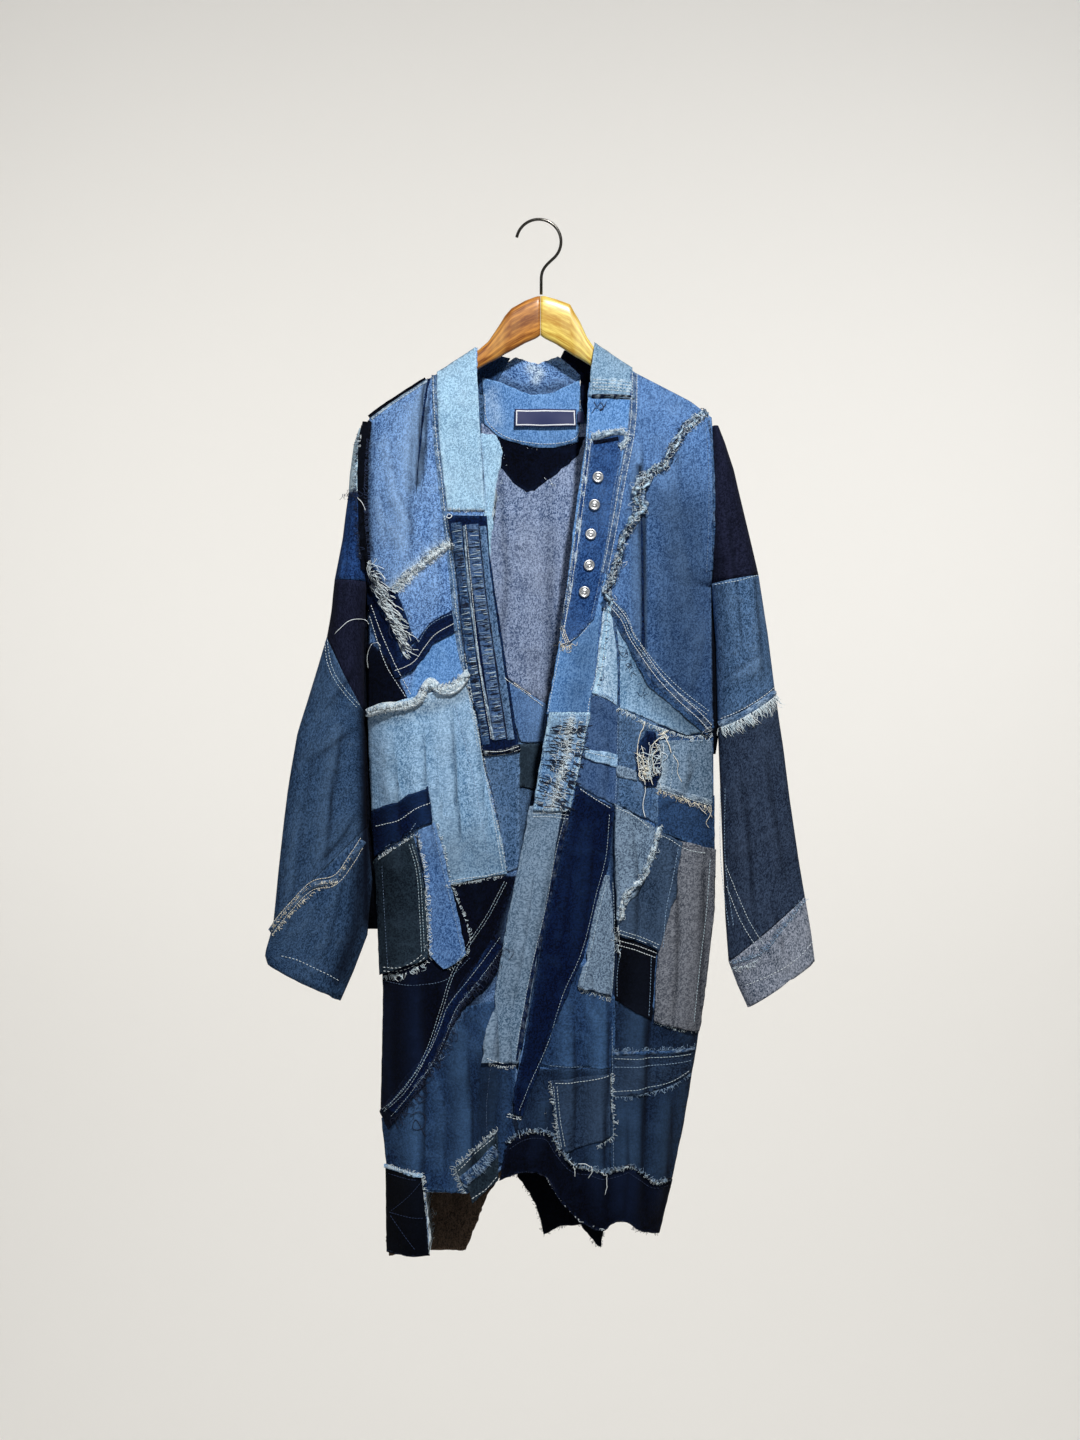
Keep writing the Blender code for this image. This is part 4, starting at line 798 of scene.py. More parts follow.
lay_right("patch_ripped_right", 1, "violet_blue", [(139, -623, 205, -623), (137, -676, 205, -698)])
lay_right("pocket_right", 3, "worn_indigo", [(89, -697, 168, -745), (91, -779, 160, -791),
    (94, -851, 144, -870)])
lay_right("patch_grey_right", 2, "grey_brown", [(164, -742, SIDE, -754), (152, -817, SIDE, -827),
    (141, -877, 200, -889), (136, -954, 188, -971)])
lay_right("pocket_black_right", 1, "black", [(94, -853, 139, -870), (90, -929, 133, -954)])
lay_right("patch_triangle_right", 3, "grey_blue", [(78, -782, 84, -782), (67, -821, 88, -821),
    (61, -851, 90, -857), (47, -913, 86, -926)])
lay_right("patch_mottled_right", 1, "mottled_blue", [(14, -1024, 84, -1015), (25, -1109, 85, -1091)])
lay_right("band_mottled_right", 1, "mottled_blue", [(85, -991, 88, -1043), (136, -990, 128, -1038),
    (185, -991, 179, -1021)], grain=80)
lay_right("hem_right", 1, "dark_navy", [(-40, -1098, -47, -1142), (-24, -1088, -20, -1132),
    (-6, -1083, -4, -1132), (10, -1085, 8, -1138), (27, -1107, 25, -1166), (44, -1125, 47, -1190),
    (62, -1127, 62, -1199), (78, -1132, 77, -1202), (93, -1127, 91, -1190), (104, -1123, 103, -1192),
    (120, -1132, 117, -1203), (136, -1145, 131, -1211), (157, -1148, 143, -1213)], raw=1.2)
HEM_TOP = [-40, -1098, -24, -1088, -6, -1083, 10, -1085, 27, -1107, 44, -1125, 62, -1127, 78, -1132,
    93, -1127, 104, -1123, 120, -1132, 136, -1145, 157, -1148]
HEM_LOW = [-46, -1141, -20, -1131, 8, -1137, 25, -1165, 47, -1188, 77, -1200, 91, -1189, 103, -1191,
    117, -1202, 143, -1212]
print("sheets so far:", len(outer_cloth))

# %% [markdown]
# ## Patches of the back
# The back isn't seen from the front. It is given two patches of the same kind as the others: a pale
# one at the waist and a dark old pocket below it.

# %% Patches of the back
lay_back("back_patch_light", 1, "sky_blue", [(-150, -560, -30, -548), (-146, -700, -34, -712)], step=5)
lay_back("back_pocket", 1, "raw_indigo", [(44, -724, 150, -716), (46, -850, 150, -846),
    (96, -876, 100, -876)], step=5)

# %% [markdown]
# ## Sleeves
# A sleeve is a flattened tube that hangs from the armhole. It is described by rings, each from its
# outer edge to its inner one; a ring that ends on the side seam is open there by as much as the
# armhole is. A ring with a name starts a new piece, so the cloth is cut across, like the coat, and
# its creases are listed one by one.

# %% Sleeve rings and creases
AROUND, ARMHOLE_GAP = 60, 1.35
Ring = namedtuple("Ring", "out_x out_z in_x in_z")
LEFT_SLEEVE = [(name, Ring(*ring)) for name, *ring in [
    ("cap", -215, -250, -SIDE, -250), ("", -221, -270, -SIDE, -271), ("", -226, -305, -SIDE, -308),
    ("upper", -227, -328, -SIDE, -331), ("", -234, -383, -SIDE, -386), ("navy", -244, -432, -SIDE, -434),
    ("", -248, -466, -211, -508), ("lower", -254, -500, -210, -588), ("", -289, -616, -209, -623),
    ("", -301, -686, -209, -665), ("", -309, -755, -208, -695), ("cuff", -318, -839, -207, -728),
    ("", -322, -857, -201, -791), ("", -327, -875, -207, -857), ("", -328, -882, -224, -901),
    ("", -325, -892, -239, -935),
]]
RIGHT_SLEEVE = [(name, Ring(*ring)) for name, *ring in [
    ("top", 214, -247, SIDE, -247), ("", 222, -268, SIDE, -271), ("", 232, -299, SIDE, -304),
    ("", 241, -336, SIDE, -344), ("", 252, -383, SIDE, -392), ("mid", 262, -426, SIDE, -436),
    ("", 273, -494, 213, -509), ("slub", 282, -564, 215, -604), ("", 293, -641, 218, -677),
    ("", 303, -719, 221, -755), ("", 312, -776, 224, -833), ("cuff", 318, -811, 228, -888),
    ("", 325, -851, 239, -917), ("", 330, -889, 251, -943),
]]
SLEEVE_FRONT = [(-950, 20), (-800, 22), (-620, 25), (-500, 31), (-430, 33)]    # (z, y) below the armhole
SLEEVE_BACK = [(-950, 18), (-800, 19), (-620, 20), (-500, 24), (-430, 26)]
SLEEVE_FOLDS = {
    (-1, "front"): [
        ([-224, -300, -232, -420, -240, -520], 7, 3), ([-212, -520, -236, -556, -262, -590], 9, 3.5),
        ([-214, -600, -244, -622, -280, -650], 9, 3), ([-236, -590, -252, -690, -262, -800], 11, 4.5),
        ([-266, -600, -284, -700, -296, -830], 10, 3), ([-216, -700, -240, -740, -270, -770], 9, 3),
        ([-228, -760, -250, -840, -262, -910], 10, 3), ([-290, -760, -302, -830, -300, -890], 8, 2.5)],
    (-1, "back"): [
        ([-222, -320, -230, -430, -246, -540], 8, 3), ([-270, -600, -252, -660, -224, -700], 10, 3.5),
        ([-246, -620, -262, -740, -280, -860], 11, 4), ([-216, -760, -240, -800, -290, -830], 9, 2.5)],
    (1, "front"): [
        ([216, -330, 226, -420, 240, -540], 9, 3.5), ([248, -400, 256, -480, 262, -560], 9, 3),
        ([216, -560, 240, -540, 272, -520], 9, 3), ([222, -620, 250, -600, 286, -596], 8, 3),
        ([232, -640, 244, -740, 252, -860], 11, 4), ([262, -620, 276, -720, 290, -800], 10, 3.5),
        ([226, -760, 256, -740, 296, -720], 8, 2.5), ([270, -800, 280, -860, 300, -900], 10, 3)],
    (1, "back"): [
        ([220, -340, 236, -440, 250, -560], 9, 3.5), ([222, -600, 250, -660, 290, -700], 10, 3.5),
        ([244, -640, 262, -760, 280, -880], 11, 4), ([300, -720, 270, -780, 236, -820], 9, 2.5)],
}
SLEEVE_FOLDS = {place: [Fold(*row) for row in rows] for place, rows in SLEEVE_FOLDS.items()}


def ring_numbers(ring, side):
    """A ring as numbers that blend well: its two ends, how open it is, and its two depths."""
    at_armhole = abs(ring.in_x) == SIDE
    in_x = ring.in_x
    if at_armhole:
        in_x = float(on_table(LEFT_EDGE if side < 0 else RIGHT_EDGE, ring.in_z)) + side * ARMHOLE_GAP
    rise = float(rounding(on_table(SHOULDER, in_x) - ring.in_z, SHOULDER_ROUND, 3.0))
    upper = min(1.0, max(0.0, (ring.in_z + 560) / 120))
    reach = [float(upper * on_table(a, ring.in_z) * rise + (1 - upper) * on_table(b, ring.in_z))
             for a, b in ((FRONT_DEPTH, SLEEVE_FRONT), (BACK_DEPTH, SLEEVE_BACK))]
    opened = max(float(armhole(ring.in_z)) if at_armhole else 0.0, 0.4 / min(reach))
    return [ring.out_x, ring.out_z, in_x, ring.in_z, opened, *reach]


def sleeve_grid(table, side, v, around, lift):
    """Places on a sleeve in millimetres: v counts rings, around goes from front edge to back edge."""
    numbers = np.array([ring_numbers(ring, side) for _, ring in table])
    out_x, out_z, in_x, in_z, opened, deep_front, deep_back = (
        np.interp(v, np.arange(len(table)), column) for column in numbers.T)
    away_x, away_z = out_x - in_x, out_z - in_z
    long = np.hypot(away_x, away_z)
    away_x, away_z = away_x / long, away_z / long
    half = long / (1 + np.sqrt(1 - opened ** 2))
    start = np.arcsin(opened)
    angle = start + (2 * math.pi - 2 * start) * around
    deep = np.where(angle < math.pi, deep_front, deep_back)
    nx, ny = -np.cos(angle) / half, np.sin(angle) / deep
    long = np.hypot(nx, ny)
    nx, ny = nx / long, ny / long
    mid_x, mid_z = out_x - away_x * half, out_z - away_z * half
    x = mid_x + away_x * -half * np.cos(angle)
    z = mid_z + away_z * -half * np.cos(angle)
    front = folded(SLEEVE_FOLDS[side, "front"], x, z) + 1.2 * hills(x, z, 30, 31 + side)
    back = folded(SLEEVE_FOLDS[side, "back"], x, z) + 1.2 * hills(x, z, 30, 41 + side)
    relief = np.where(ny > 0, front, back) * np.abs(ny) ** 0.7
    calm = np.clip(np.minimum(around, 1 - around) / 0.06, 0.1, 1) * np.clip(v / 0.8, 0.1, 1)
    lift = lift + relief * calm
    return np.stack([x + away_x * nx * lift, -(deep * np.sin(angle) + ny * lift), z + away_z * nx * lift],
                    -1), relief


# %% Sleeve pieces
def sleeve_piece(node, table, side, v_from, v_to, finish, raw_end=0.0):
    """A piece of a sleeve between two rings, cut all round."""
    ends = [np.array(ring_numbers(table[round(v)][1], side)[:2]) for v in (v_from, v_to)]
    rows = max(3, round(float(np.linalg.norm(ends[1] - ends[0])) / 4.6))
    v, around = np.meshgrid(np.linspace(v_from, v_to, rows + 1), np.linspace(0, 1, AROUND + 1), indexing="ij")
    if raw_end:
        v[-1] += raw_end * hills(np.arange(AROUND + 1.0), 0 * around[0], 1.7, 5 + side)
    points, relief = sleeve_grid(table, side, v, around, CLOTH)
    mesh = grid_mesh(node, points, side > 0)
    step_u = np.linalg.norm(np.diff(points, axis=1), axis=2).mean(0)
    step_v = np.linalg.norm(np.diff(points, axis=0), axis=2).mean(1)
    u = np.tile(np.concatenate([[0], np.cumsum(step_u)]), rows + 1) * MM
    down = np.repeat(np.concatenate([[0], np.cumsum(step_v)]), AROUND + 1)
    x, z = points[..., 0].ravel(), points[..., 2].ravel()
    crease = np.where(np.tile(np.arange(AROUND + 1) < AROUND / 2, rows + 1),
                      painted_crease_shade(SLEEVE_FOLDS[side, "front"], x, z), painted_crease_shade(SLEEVE_FOLDS[side, "back"], x, z))
    # Creases darken the colour as painted shade, partly the dye a crease keeps; the relief lightens fold
    # tops, partly as a painted highlight.
    fill_values(mesh, {"inset": np.minimum(down, down.max() - down) + 1.2, "ridge": relief.ravel(),
                       "bleach": marked("bleach", node, x, z),
                       "painted_shade_and_darkening": np.maximum(marked("painted_shade_and_darkening", node, x, z), 1.6 * crease)})
    fill_cut(mesh, u + 0.01 * len(node), -down * MM, 0)
    piece = show(node + "_cloth", mesh, DENIM[finish], node)
    outer_cloth.append(mesh)


def sleeve_pieces(prefix, table, side, finishes):
    starts = [i for i, (name, _) in enumerate(table) if name] + [len(table) - 1]
    for a, b in zip(starts, starts[1:]):
        name = table[a][0]
        sleeve_piece(prefix + name, table, side, a, b - (0 if b == len(table) - 1 else 0.01), finishes[name],
                     raw_end=0.05 if name == "cuff" else 0.0)


sleeve_pieces("sleeve_left_", LEFT_SLEEVE, -1, {
    "cap": "frost_blue", "upper": "raw_indigo", "navy": "purple_black", "lower": "sleeve_indigo",
    "cuff": "sleeve_indigo"})
sleeve_pieces("sleeve_right_", RIGHT_SLEEVE, 1, {
    "top": "purple_black", "mid": "steel_blue", "slub": "slub_navy", "cuff": "cuff_grey"})
print("sheets so far:", len(outer_cloth))

# %% [markdown]
# ## Painted shade under the arms
# Where a sleeve leaves the side seam, the gap between sleeve and body lies in deep shade. A narrow sheet of
# black twill fills it, so no light falls between the two, and paints that shade. It is a flat strip that
# hangs in the middle plane.

# %% Painted shade under the arms
def underarm_shade_sheet(name, rows):
    """A narrow flat black sheet in the middle plane that paints shade: rows of (left x, right x, z)."""
    found = [(x, 3.0, z) for left, right, z in rows for x in (left, (left + right) / 2, right)]
    quads = [(k + c, k + c + 3, k + c + 4, k + c + 1) for k in range(0, len(found) - 3, 3) for c in (0, 1)]
    mesh = bpy.data.meshes.new(name)
    mesh.from_pydata((np.array(found) * MM).tolist(), [], quads)
    x, _, z = np.array(found).T
    fill_values(mesh, {key: 0 * x + (3.0 if key == "inset" else 0.0)
                       for key in ("inset", "ridge", "bleach", "painted_shade_and_darkening")})
    fill_cut(mesh, x * MM, z * MM, 0)
    piece = show(name, mesh, DENIM["black"], name)


underarm_shade_sheet("underarm_shade_left", [(-218, -196, -425), (-222, -194, -520), (-222, -190, -640), (-222, -184, -740),
    (-214, -180, -850)])
underarm_shade_sheet("underarm_shade_right", [(198, 218, -425), (198, 222, -520), (200, 218, -600), (202, 212, -640)])

# %% [markdown]
# ## Hanger
# Two arms of lacquered beech meet in a mitre under the hook; they were stained differently, one
# reddish and one honey-yellow. The lacquer makes wood satin, so it shows a broad soft highlight. The
# hook is dark polished steel wire.

# %% Wood, steel and zinc
def wood(name, dark, light, pale):
    made, tree, shader = new_finish(name, 0.38)
    shader.inputs["Coat Weight"].default_value = 0.35
    shader.inputs["Coat Roughness"].default_value = 0.25
    cut = add(tree, "UVMap", {"uv_map": "cut"}).outputs["UV"]
    way = add(tree, "Mapping", {"Scale": (16, 290, 1)}, {"Vector": cut})
    grain = add(tree, "TexNoise", {"Scale": 1.0, "Detail": 5.0, "Roughness": 0.62},
                {"Vector": way.outputs[0]})
    broad = add(tree, "TexNoise", {"Scale": 26.0, "Detail": 2.0}, {"Vector": cut})
    share = add(tree, "MapRange", {"From Min": 0.42, "From Max": 0.58}, {"Value": grain.outputs["Fac"]})
    base = add(tree, "MixRGB", {"Color1": colour(dark), "Color2": colour(light)}, {"Fac": share.outputs[0]})
    glow = add(tree, "MapRange", {"From Min": 0.45, "From Max": 0.75, "To Max": 0.6},
               {"Value": broad.outputs["Fac"]})
    base = add(tree, "MixRGB", {"Color2": colour(pale)}, {"Fac": glow.outputs[0], "Color1": base.outputs[0]})
    tree.links.new(base.outputs[0], shader.inputs["Base Color"])
    rough = add(tree, "Bump", {"Strength": 0.15, "Distance": 0.0004}, {"Height": grain.outputs["Fac"]})
    tree.links.new(rough.outputs[0], shader.inputs["Normal"])
    return made


def metal(name, tint, roughness):
    made, tree, shader = new_finish(name, roughness, metallic=1.0)
    shader.inputs["Base Color"].default_value = colour(tint)
    worn = add(tree, "TexNoise", {"Scale": 600.0, "Detail": 2.0})
    uneven = add(tree, "MapRange", {"To Min": roughness * 0.7, "To Max": roughness * 1.4},
                 {"Value": worn.outputs["Fac"]})
    tree.links.new(uneven.outputs[0], shader.inputs["Roughness"])
    return made


WOOD_RED = wood("wood_red_beech", "7d4410", "cd8a3a", "dfab5a")
WOOD_HONEY = wood("wood_honey_beech", "bc8c2c", "f2da6e", "f8ea9a")
STEEL = metal("steel_dark_polished", "55534f", 0.22)
ZINC = metal("zinc_polished", "c6c8ca", 0.38)

# %% Arms of the hanger
ARM_THICK = 14                          # the arms below are rows of x, top z and bottom z
LEFT_ARM = [(1.35, -89, -139), (-17, -96, -147), (-33, -105, -156), (-41, -114, -160), (-47, -124, -164),
            (-61, -145, -171), (-73, -155.4, -178), (-100, -173, -194), (-125, -195, -211),
            (-167, -223, -238), (-188, -234.6, -249)]
RIGHT_ARM = [(1.65, -89, -139), (20, -94, -148), (37, -100, -159), (43, -111, -163), (49, -121, -166),
             (57, -139, -171), (66, -152.6, -177), (92, -170.8, -191), (115, -193, -209),
             (170, -225, -239), (192, -235, -251)]


def hanger_arm(node, stations, finish):
    """A bar lofted through its stations, oval in section, rounded off at its far end."""
    xs, tops, bottoms = (np.array(c, float) for c in zip(*stations))
    share = np.concatenate([np.linspace(0, 1, 60), [1.0, 1.0, 1.0]])
    x = np.interp(share, np.linspace(0, 1, len(xs)), xs)
    order = np.argsort(xs)
    top, bottom = np.interp(x, xs[order], tops[order]), np.interp(x, xs[order], bottoms[order])
    shrink = np.concatenate([np.ones(60), [0.9, 0.6, 0.0]])
    x[60:] += np.sign(xs[-1]) * np.array([1.0, 2.0, 2.4])
    turn = np.linspace(0, 2 * math.pi, 28, endpoint=False)
    bevel = np.concatenate([[0.94, 0.985], np.ones(61)])[:, None] * shrink[:, None]
    side = np.sign(np.cos(turn)) * np.abs(np.cos(turn)) ** 0.72 * ARM_THICK / 2
    rise = np.sign(np.sin(turn)) * np.abs(np.sin(turn)) ** 0.62
    y = side * bevel
    z = (top + bottom)[:, None] / 2 + rise * (top - bottom)[:, None] / 2 * bevel
    points = np.stack([np.repeat(x[:, None], 28, 1), y, z], -1)
    count = len(x)
    index = np.arange(count * 28).reshape(count, 28)
    following = np.roll(index, -1, 1)
    quads = np.stack([index[:-1], following[:-1], following[1:], index[1:]], -1).reshape(-1, 4).tolist()
    faces = quads + [index[0][::-1].tolist()]
    if xs[-1] < 0:
        faces = [face[::-1] for face in faces]
    mesh = bpy.data.meshes.new(node)
    mesh.from_pydata((points.reshape(-1, 3) * MM).tolist(), [], faces)
    run = np.concatenate([[0], np.cumsum(np.linalg.norm(np.diff(points.mean(1), axis=0), axis=1))])
    fill_cut(mesh, np.repeat(run, 28) * MM, np.tile(np.abs(turn - math.pi), count) * 0.012, 0)
    return show(node + "_wood", mesh, finish, node, thick=0)


hanger_arm("hanger_arm_left", LEFT_ARM, WOOD_RED)
hanger_arm("hanger_arm_right", RIGHT_ARM, WOOD_HONEY)


# %% Tubes along paths: the hook, and later every thread
def tubes(name, lines, radius, finish, node, sides=3, tones=None):
    """One mesh of round tubes along lines of points in millimetres, all closed at both ends."""
    places, faces, tone, base = [], [], [], 0
    turn = np.linspace(0, 2 * math.pi, sides, endpoint=False)
    for k, line in enumerate(lines):
        line = np.asarray(line, float)
        way = np.gradient(line, axis=0)
        way /= np.maximum(1e-9, np.linalg.norm(way, axis=1, keepdims=True))
        across = np.cross(way, [0.08, 1.0, 0.05])
        across /= np.maximum(1e-9, np.linalg.norm(across, axis=1, keepdims=True))
        third = np.cross(way, across)
        thick = np.full(len(line), radius[k] if isinstance(radius, (list, np.ndarray)) else radius)
        ring = (line[:, None] + (across[:, None] * np.cos(turn)[None, :, None]
                                 + third[:, None] * np.sin(turn)[None, :, None]) * thick[:, None, None])
        places.append(ring.reshape(-1, 3))
        index = base + np.arange(len(line) * sides).reshape(len(line), sides)
        following = np.roll(index, -1, 1)
        faces += np.stack([index[:-1], index[1:], following[1:], following[:-1]], -1).reshape(-1, 4).tolist()
        faces += [index[0].tolist(), index[-1][::-1].tolist()]
        tone += [float(tones[k]) if tones is not None else 1.0] * (len(line) * sides)
        base += len(line) * sides
    mesh = bpy.data.meshes.new(name)
    mesh.from_pydata((np.concatenate(places) * MM).tolist(), [], faces)
    fill_values(mesh, {"tone": tone})
    return show(name, mesh, finish, node, thick=0)


def hook_line():
    """The wire's centre: from the tip over the top, round to the right and down the shank."""
    cx, cz, r = -0.6, -25.0, 26.8
    arc = [(cx + r * math.cos(math.radians(a)), cz + r * math.sin(math.radians(a)))
           for a in range(169, -48, -4)]
    x, z = arc[-1]
    start, pull_a, pull_b, end = np.array([(x, z), (x - 11, z - 10), (2.4, z - 14), (2.4, z - 27)])
    t = np.linspace(0, 1, 14)[1:, None]
    bend = (1 - t) ** 3 * start + 3 * t * (1 - t) ** 2 * pull_a + 3 * t * t * (1 - t) * pull_b + t ** 3 * end
    line = np.array(arc + bend.tolist() + [(2.4, -88.4)])
    return np.stack([line[:, 0], 0 * line[:, 0], line[:, 1]], -1)


tubes("hook_wire", [hook_line()], 1.8, STEEL, "hook", sides=16)

# %% [markdown]
# ## Buttons
# Jeans buttons are pressed from zinc: a domed rim, a sunk ring and a raised middle with the rivet's
# dimple. Each is turned from one profile and stands square on the placket.

# %% Buttons
BUTTONS = [(69.6, -312), (65.4, -344.4), (61.2, -379.8), (58.2, -416.4), (53.6, -447.6)]
BUTTON_PROFILE = [(0, -0.6), (4.4, -0.6), (4.6, 0.9), (6.2, 1.0), (6.7, 1.5), (6.6, 2.4), (6.0, 3.0),
                  (5.0, 3.1), (4.5, 2.6), (4.3, 2.0), (3.6, 1.9), (3.1, 2.3), (2.2, 2.9), (1.2, 3.0),
                  (0.8, 2.5), (0, 2.4)]
for number, (x, z) in enumerate(BUTTONS, 1):
    bm = bmesh.new()
    verts = [bm.verts.new((r * MM, 0, h * MM)) for r, h in BUTTON_PROFILE]
    edges = [bm.edges.new(pair) for pair in zip(verts, verts[1:])]
    bmesh.ops.spin(bm, geom=verts + edges, cent=(0, 0, 0), axis=(0, 0, 1), angle=2 * math.pi, steps=36,
                   use_merge=True)
    bmesh.ops.remove_doubles(bm, verts=bm.verts, dist=1e-6)
    bmesh.ops.recalc_face_normals(bm, faces=bm.faces)
    at, beside, below = lie("front", np.array([x, x + 3, x]), np.array([z, z, z - 3]),
                            2 * LAYER + CLOTH + 0.4, wrapped=True)
    normal = Vector(beside - at).cross(Vector(below - at)).normalized()
    normal = normal if normal.y < 0 else -normal
    bm.transform(normal.to_track_quat("Z", "Y").to_matrix().to_4x4())
    bmesh.ops.translate(bm, verts=bm.verts, vec=Vector(at * MM))
    mesh = bpy.data.meshes.new(f"button_{number}")
    bm.to_mesh(mesh)
    bm.free()
    show(f"button_{number}_zinc", mesh, ZINC, f"button_{number}", thick=0)

# %% [markdown]
# ## Finding the outermost cloth
# Seams, stitches and frays lie on whatever piece is outermost. Instead of repeating which layer that
# is, a ray is sent at the coat from the front or the back, and the detail is put where it lands.

# %% Finding the outermost cloth
def cloth_tree():
    places, faces, base = [], [], 0
    for mesh in outer_cloth:
        spots = np.empty(len(mesh.vertices) * 3, np.float32)
        mesh.vertices.foreach_get("co", spots)
        places += spots.reshape(-1, 3).tolist()
        faces += [[base + i for i in polygon.vertices] for polygon in mesh.polygons]
        base += len(mesh.vertices)
    return BVHTree.FromPolygons(places, faces)


def on_cloth(x, z, lift, side="front"):
    """Places in millimetres, lifted off skin, the outermost cloth so far. Past an edge the depth is kept."""
    out = -1 if side == "front" else 1
    x, z, lift = np.broadcast_arrays(np.asarray(x, float), np.asarray(z, float), lift)
    depth, normal = np.full(x.size, np.nan), np.tile([0.0, out, 0.0], (x.size, 1))
    for i, (a, b) in enumerate(zip(x.ravel(), z.ravel())):
        spot, facing, _, _ = skin.ray_cast((a * MM, out * 0.3, b * MM), (0, -out, 0))
        if spot:
            depth[i] = spot.y / MM
            normal[i] = facing if facing.y * out > 0 else -facing
    known = np.flatnonzero(~np.isnan(depth))
    depth = np.interp(np.arange(x.size), known, depth[known]) if len(known) else np.full(x.size, out * 20.0)
    flat = np.stack([x.ravel(), depth, z.ravel()], -1)
    return (flat + normal * lift.ravel()[:, None]).reshape(x.shape + (3,))


def smooth_path(path, step):
    """A smooth curve through a path, as evenly spaced places, with its unit sideways direction."""
    points = np.asarray(path, float).reshape(-1, 2)
    at = np.concatenate([[0], np.cumsum(np.hypot(*np.diff(points, axis=0).T))])
    if len(points) > 2:
        slope = np.gradient(points, at, axis=0)
    else:
        slope = np.diff(points, axis=0).repeat(2, 0) / at[-1]
    s = np.linspace(0, at[-1], max(2, round(at[-1] / step) + 1))
    k = np.clip(np.searchsorted(at, s, side="right") - 1, 0, len(at) - 2)
    h = (at[k + 1] - at[k])[:, None]
    t = ((s - at[k])[:, None]) / h
    spots = ((2 * t ** 3 - 3 * t ** 2 + 1) * points[k] + (t ** 3 - 2 * t ** 2 + t) * h * slope[k]
             + (3 * t ** 2 - 2 * t ** 3) * points[k + 1] + (t ** 3 - t ** 2) * h * slope[k + 1])
    way = np.gradient(spots, axis=0)
    way /= np.maximum(1e-9, np.hypot(*way.T))[:, None]
    return spots, np.stack([way[:, 1], -way[:, 0]], -1), s


# %% [markdown]
# ## Strips
# Waistbands, plackets, felled seams and torn selvedges are narrow strips that follow a line. A strip
# puckers where its stitching has shrunk in the wash, and the puckers are rubbed pale on top.

# %% Strips of cloth along a line
def strip(name, width, finish, lift, crimp, pale, path, pitch=4.0, taper=0.0):
    """A band of cloth along a path. crimp is the height of its puckers, pitch their spacing."""
    spots, across, s = smooth_path(path, 1.4)
    seed = sum(map(ord, name))
    shares = np.linspace(-1, 1, max(5, round(width / 1.8) + 1))
    narrow = 1 - taper * s / s[-1]
    wander = 0.4 * hills(s, 0 * s, 9, seed)
    offset = (width / 2 * narrow + wander)[:, None] * shares[None, :]
    x = spots[:, :1] + across[:, :1] * offset
    z = spots[:, 1:] + across[:, 1:] * offset
    wave = hills(s[:, None] / pitch + 0.5 * shares, shares[None, :] * 0.8 + 0 * s[:, None], 1.0, seed + 1)
    profile = np.clip((1 - np.abs(shares)) / 0.25, 0, 1)[None, :]
    height_of = lift * profile ** 0.6 + crimp * (0.6 + wave) * profile + 0.15
    places = on_cloth(x, z, height_of)
    a, b, c = places[0, 0], places[0, 1], places[1, 0]
    mesh = grid_mesh(name, places, np.cross(b - a, c - a)[1] > 0)
    near = (width / 2 * (1 - np.abs(shares)))[None, :] + 0 * s[:, None]
    fill_values(mesh, {"inset": near.ravel() + 0.8, "ridge": (0 * near).ravel(),
                       "bleach": (pale * np.clip(0.15 + 1.5 * wave, 0, 1)).ravel(),
                       "painted_shade_and_darkening": (0 * near).ravel()})
    fill_cut(mesh, offset.ravel() * MM + 0.01 * seed, np.repeat(s, len(shares)) * MM, 0)
    piece = show(name, mesh, DENIM[finish], name, thick=0)
    outer_cloth.append(mesh)


def twist(name, path, strands):
    """Narrow strips wound about a path, each a (finish, swing, start, rise)."""
    for k, (finish, swing, start, rise) in enumerate(strands):
        spots, across, s = smooth_path(path, 4.0)
        swung = spots + across * (swing * np.sin(s / 5.0 + start) + 1.2 * hills(s, 0 * s, 7, k))[:, None]
        strip(f"{name}_{k + 1}", 4.0, finish, rise, 2.6, 0.8, swung, pitch=2.4)


# %% [markdown]
# ## Threads
# Three kinds of thread show. Top-stitching is a row of short stitches that dip into the cloth at both
# ends. A raw edge lets its cross threads go, and they lie over the neighbour in all directions. And
# here and there one long thread hangs loose. All three are thin tubes, gathered in one mesh by colour.
# Real stitches are 0.4 mm thick; they are drawn about twice as thick, so that they still show.

# %% Stitches, frays and loose threads
Thread = namedtuple("Thread", "line radius tone")
THREADS = {(use, kind): [] for use in ("stitches", "frays") for kind in COTTON}
chance = np.random.default_rng(7)


def stitch(path, low, high, kind="white", rows=(0,), pitch=3.6, length=2.6, radius=0.4, side="front",
           lift=0.25):
    """Rows of stitches along a path, each row set off sideways. Their tones lie between low and high."""
    spots, across, s = smooth_path(path, 0.6)
    for off in rows:
        line = spots + across * off
        starts = np.arange(0.8, s[-1] - length, pitch) + chance.uniform(-0.15, 0.15)
        at = starts[:, None] + length * np.array([0, 0.5, 1.0]) + chance.normal(0, 0.12, (len(starts), 1))
        x, z = np.interp(at, s, line[:, 0]), np.interp(at, s, line[:, 1])
        x = x + chance.normal(0, 0.1, x.shape)
        places = on_cloth(x, z, lift + np.array([-0.35, 0.25, -0.35])[None, :], side)
        THREADS["stitches", kind] += [Thread(p, radius, chance.uniform(low, high)) for p in places]


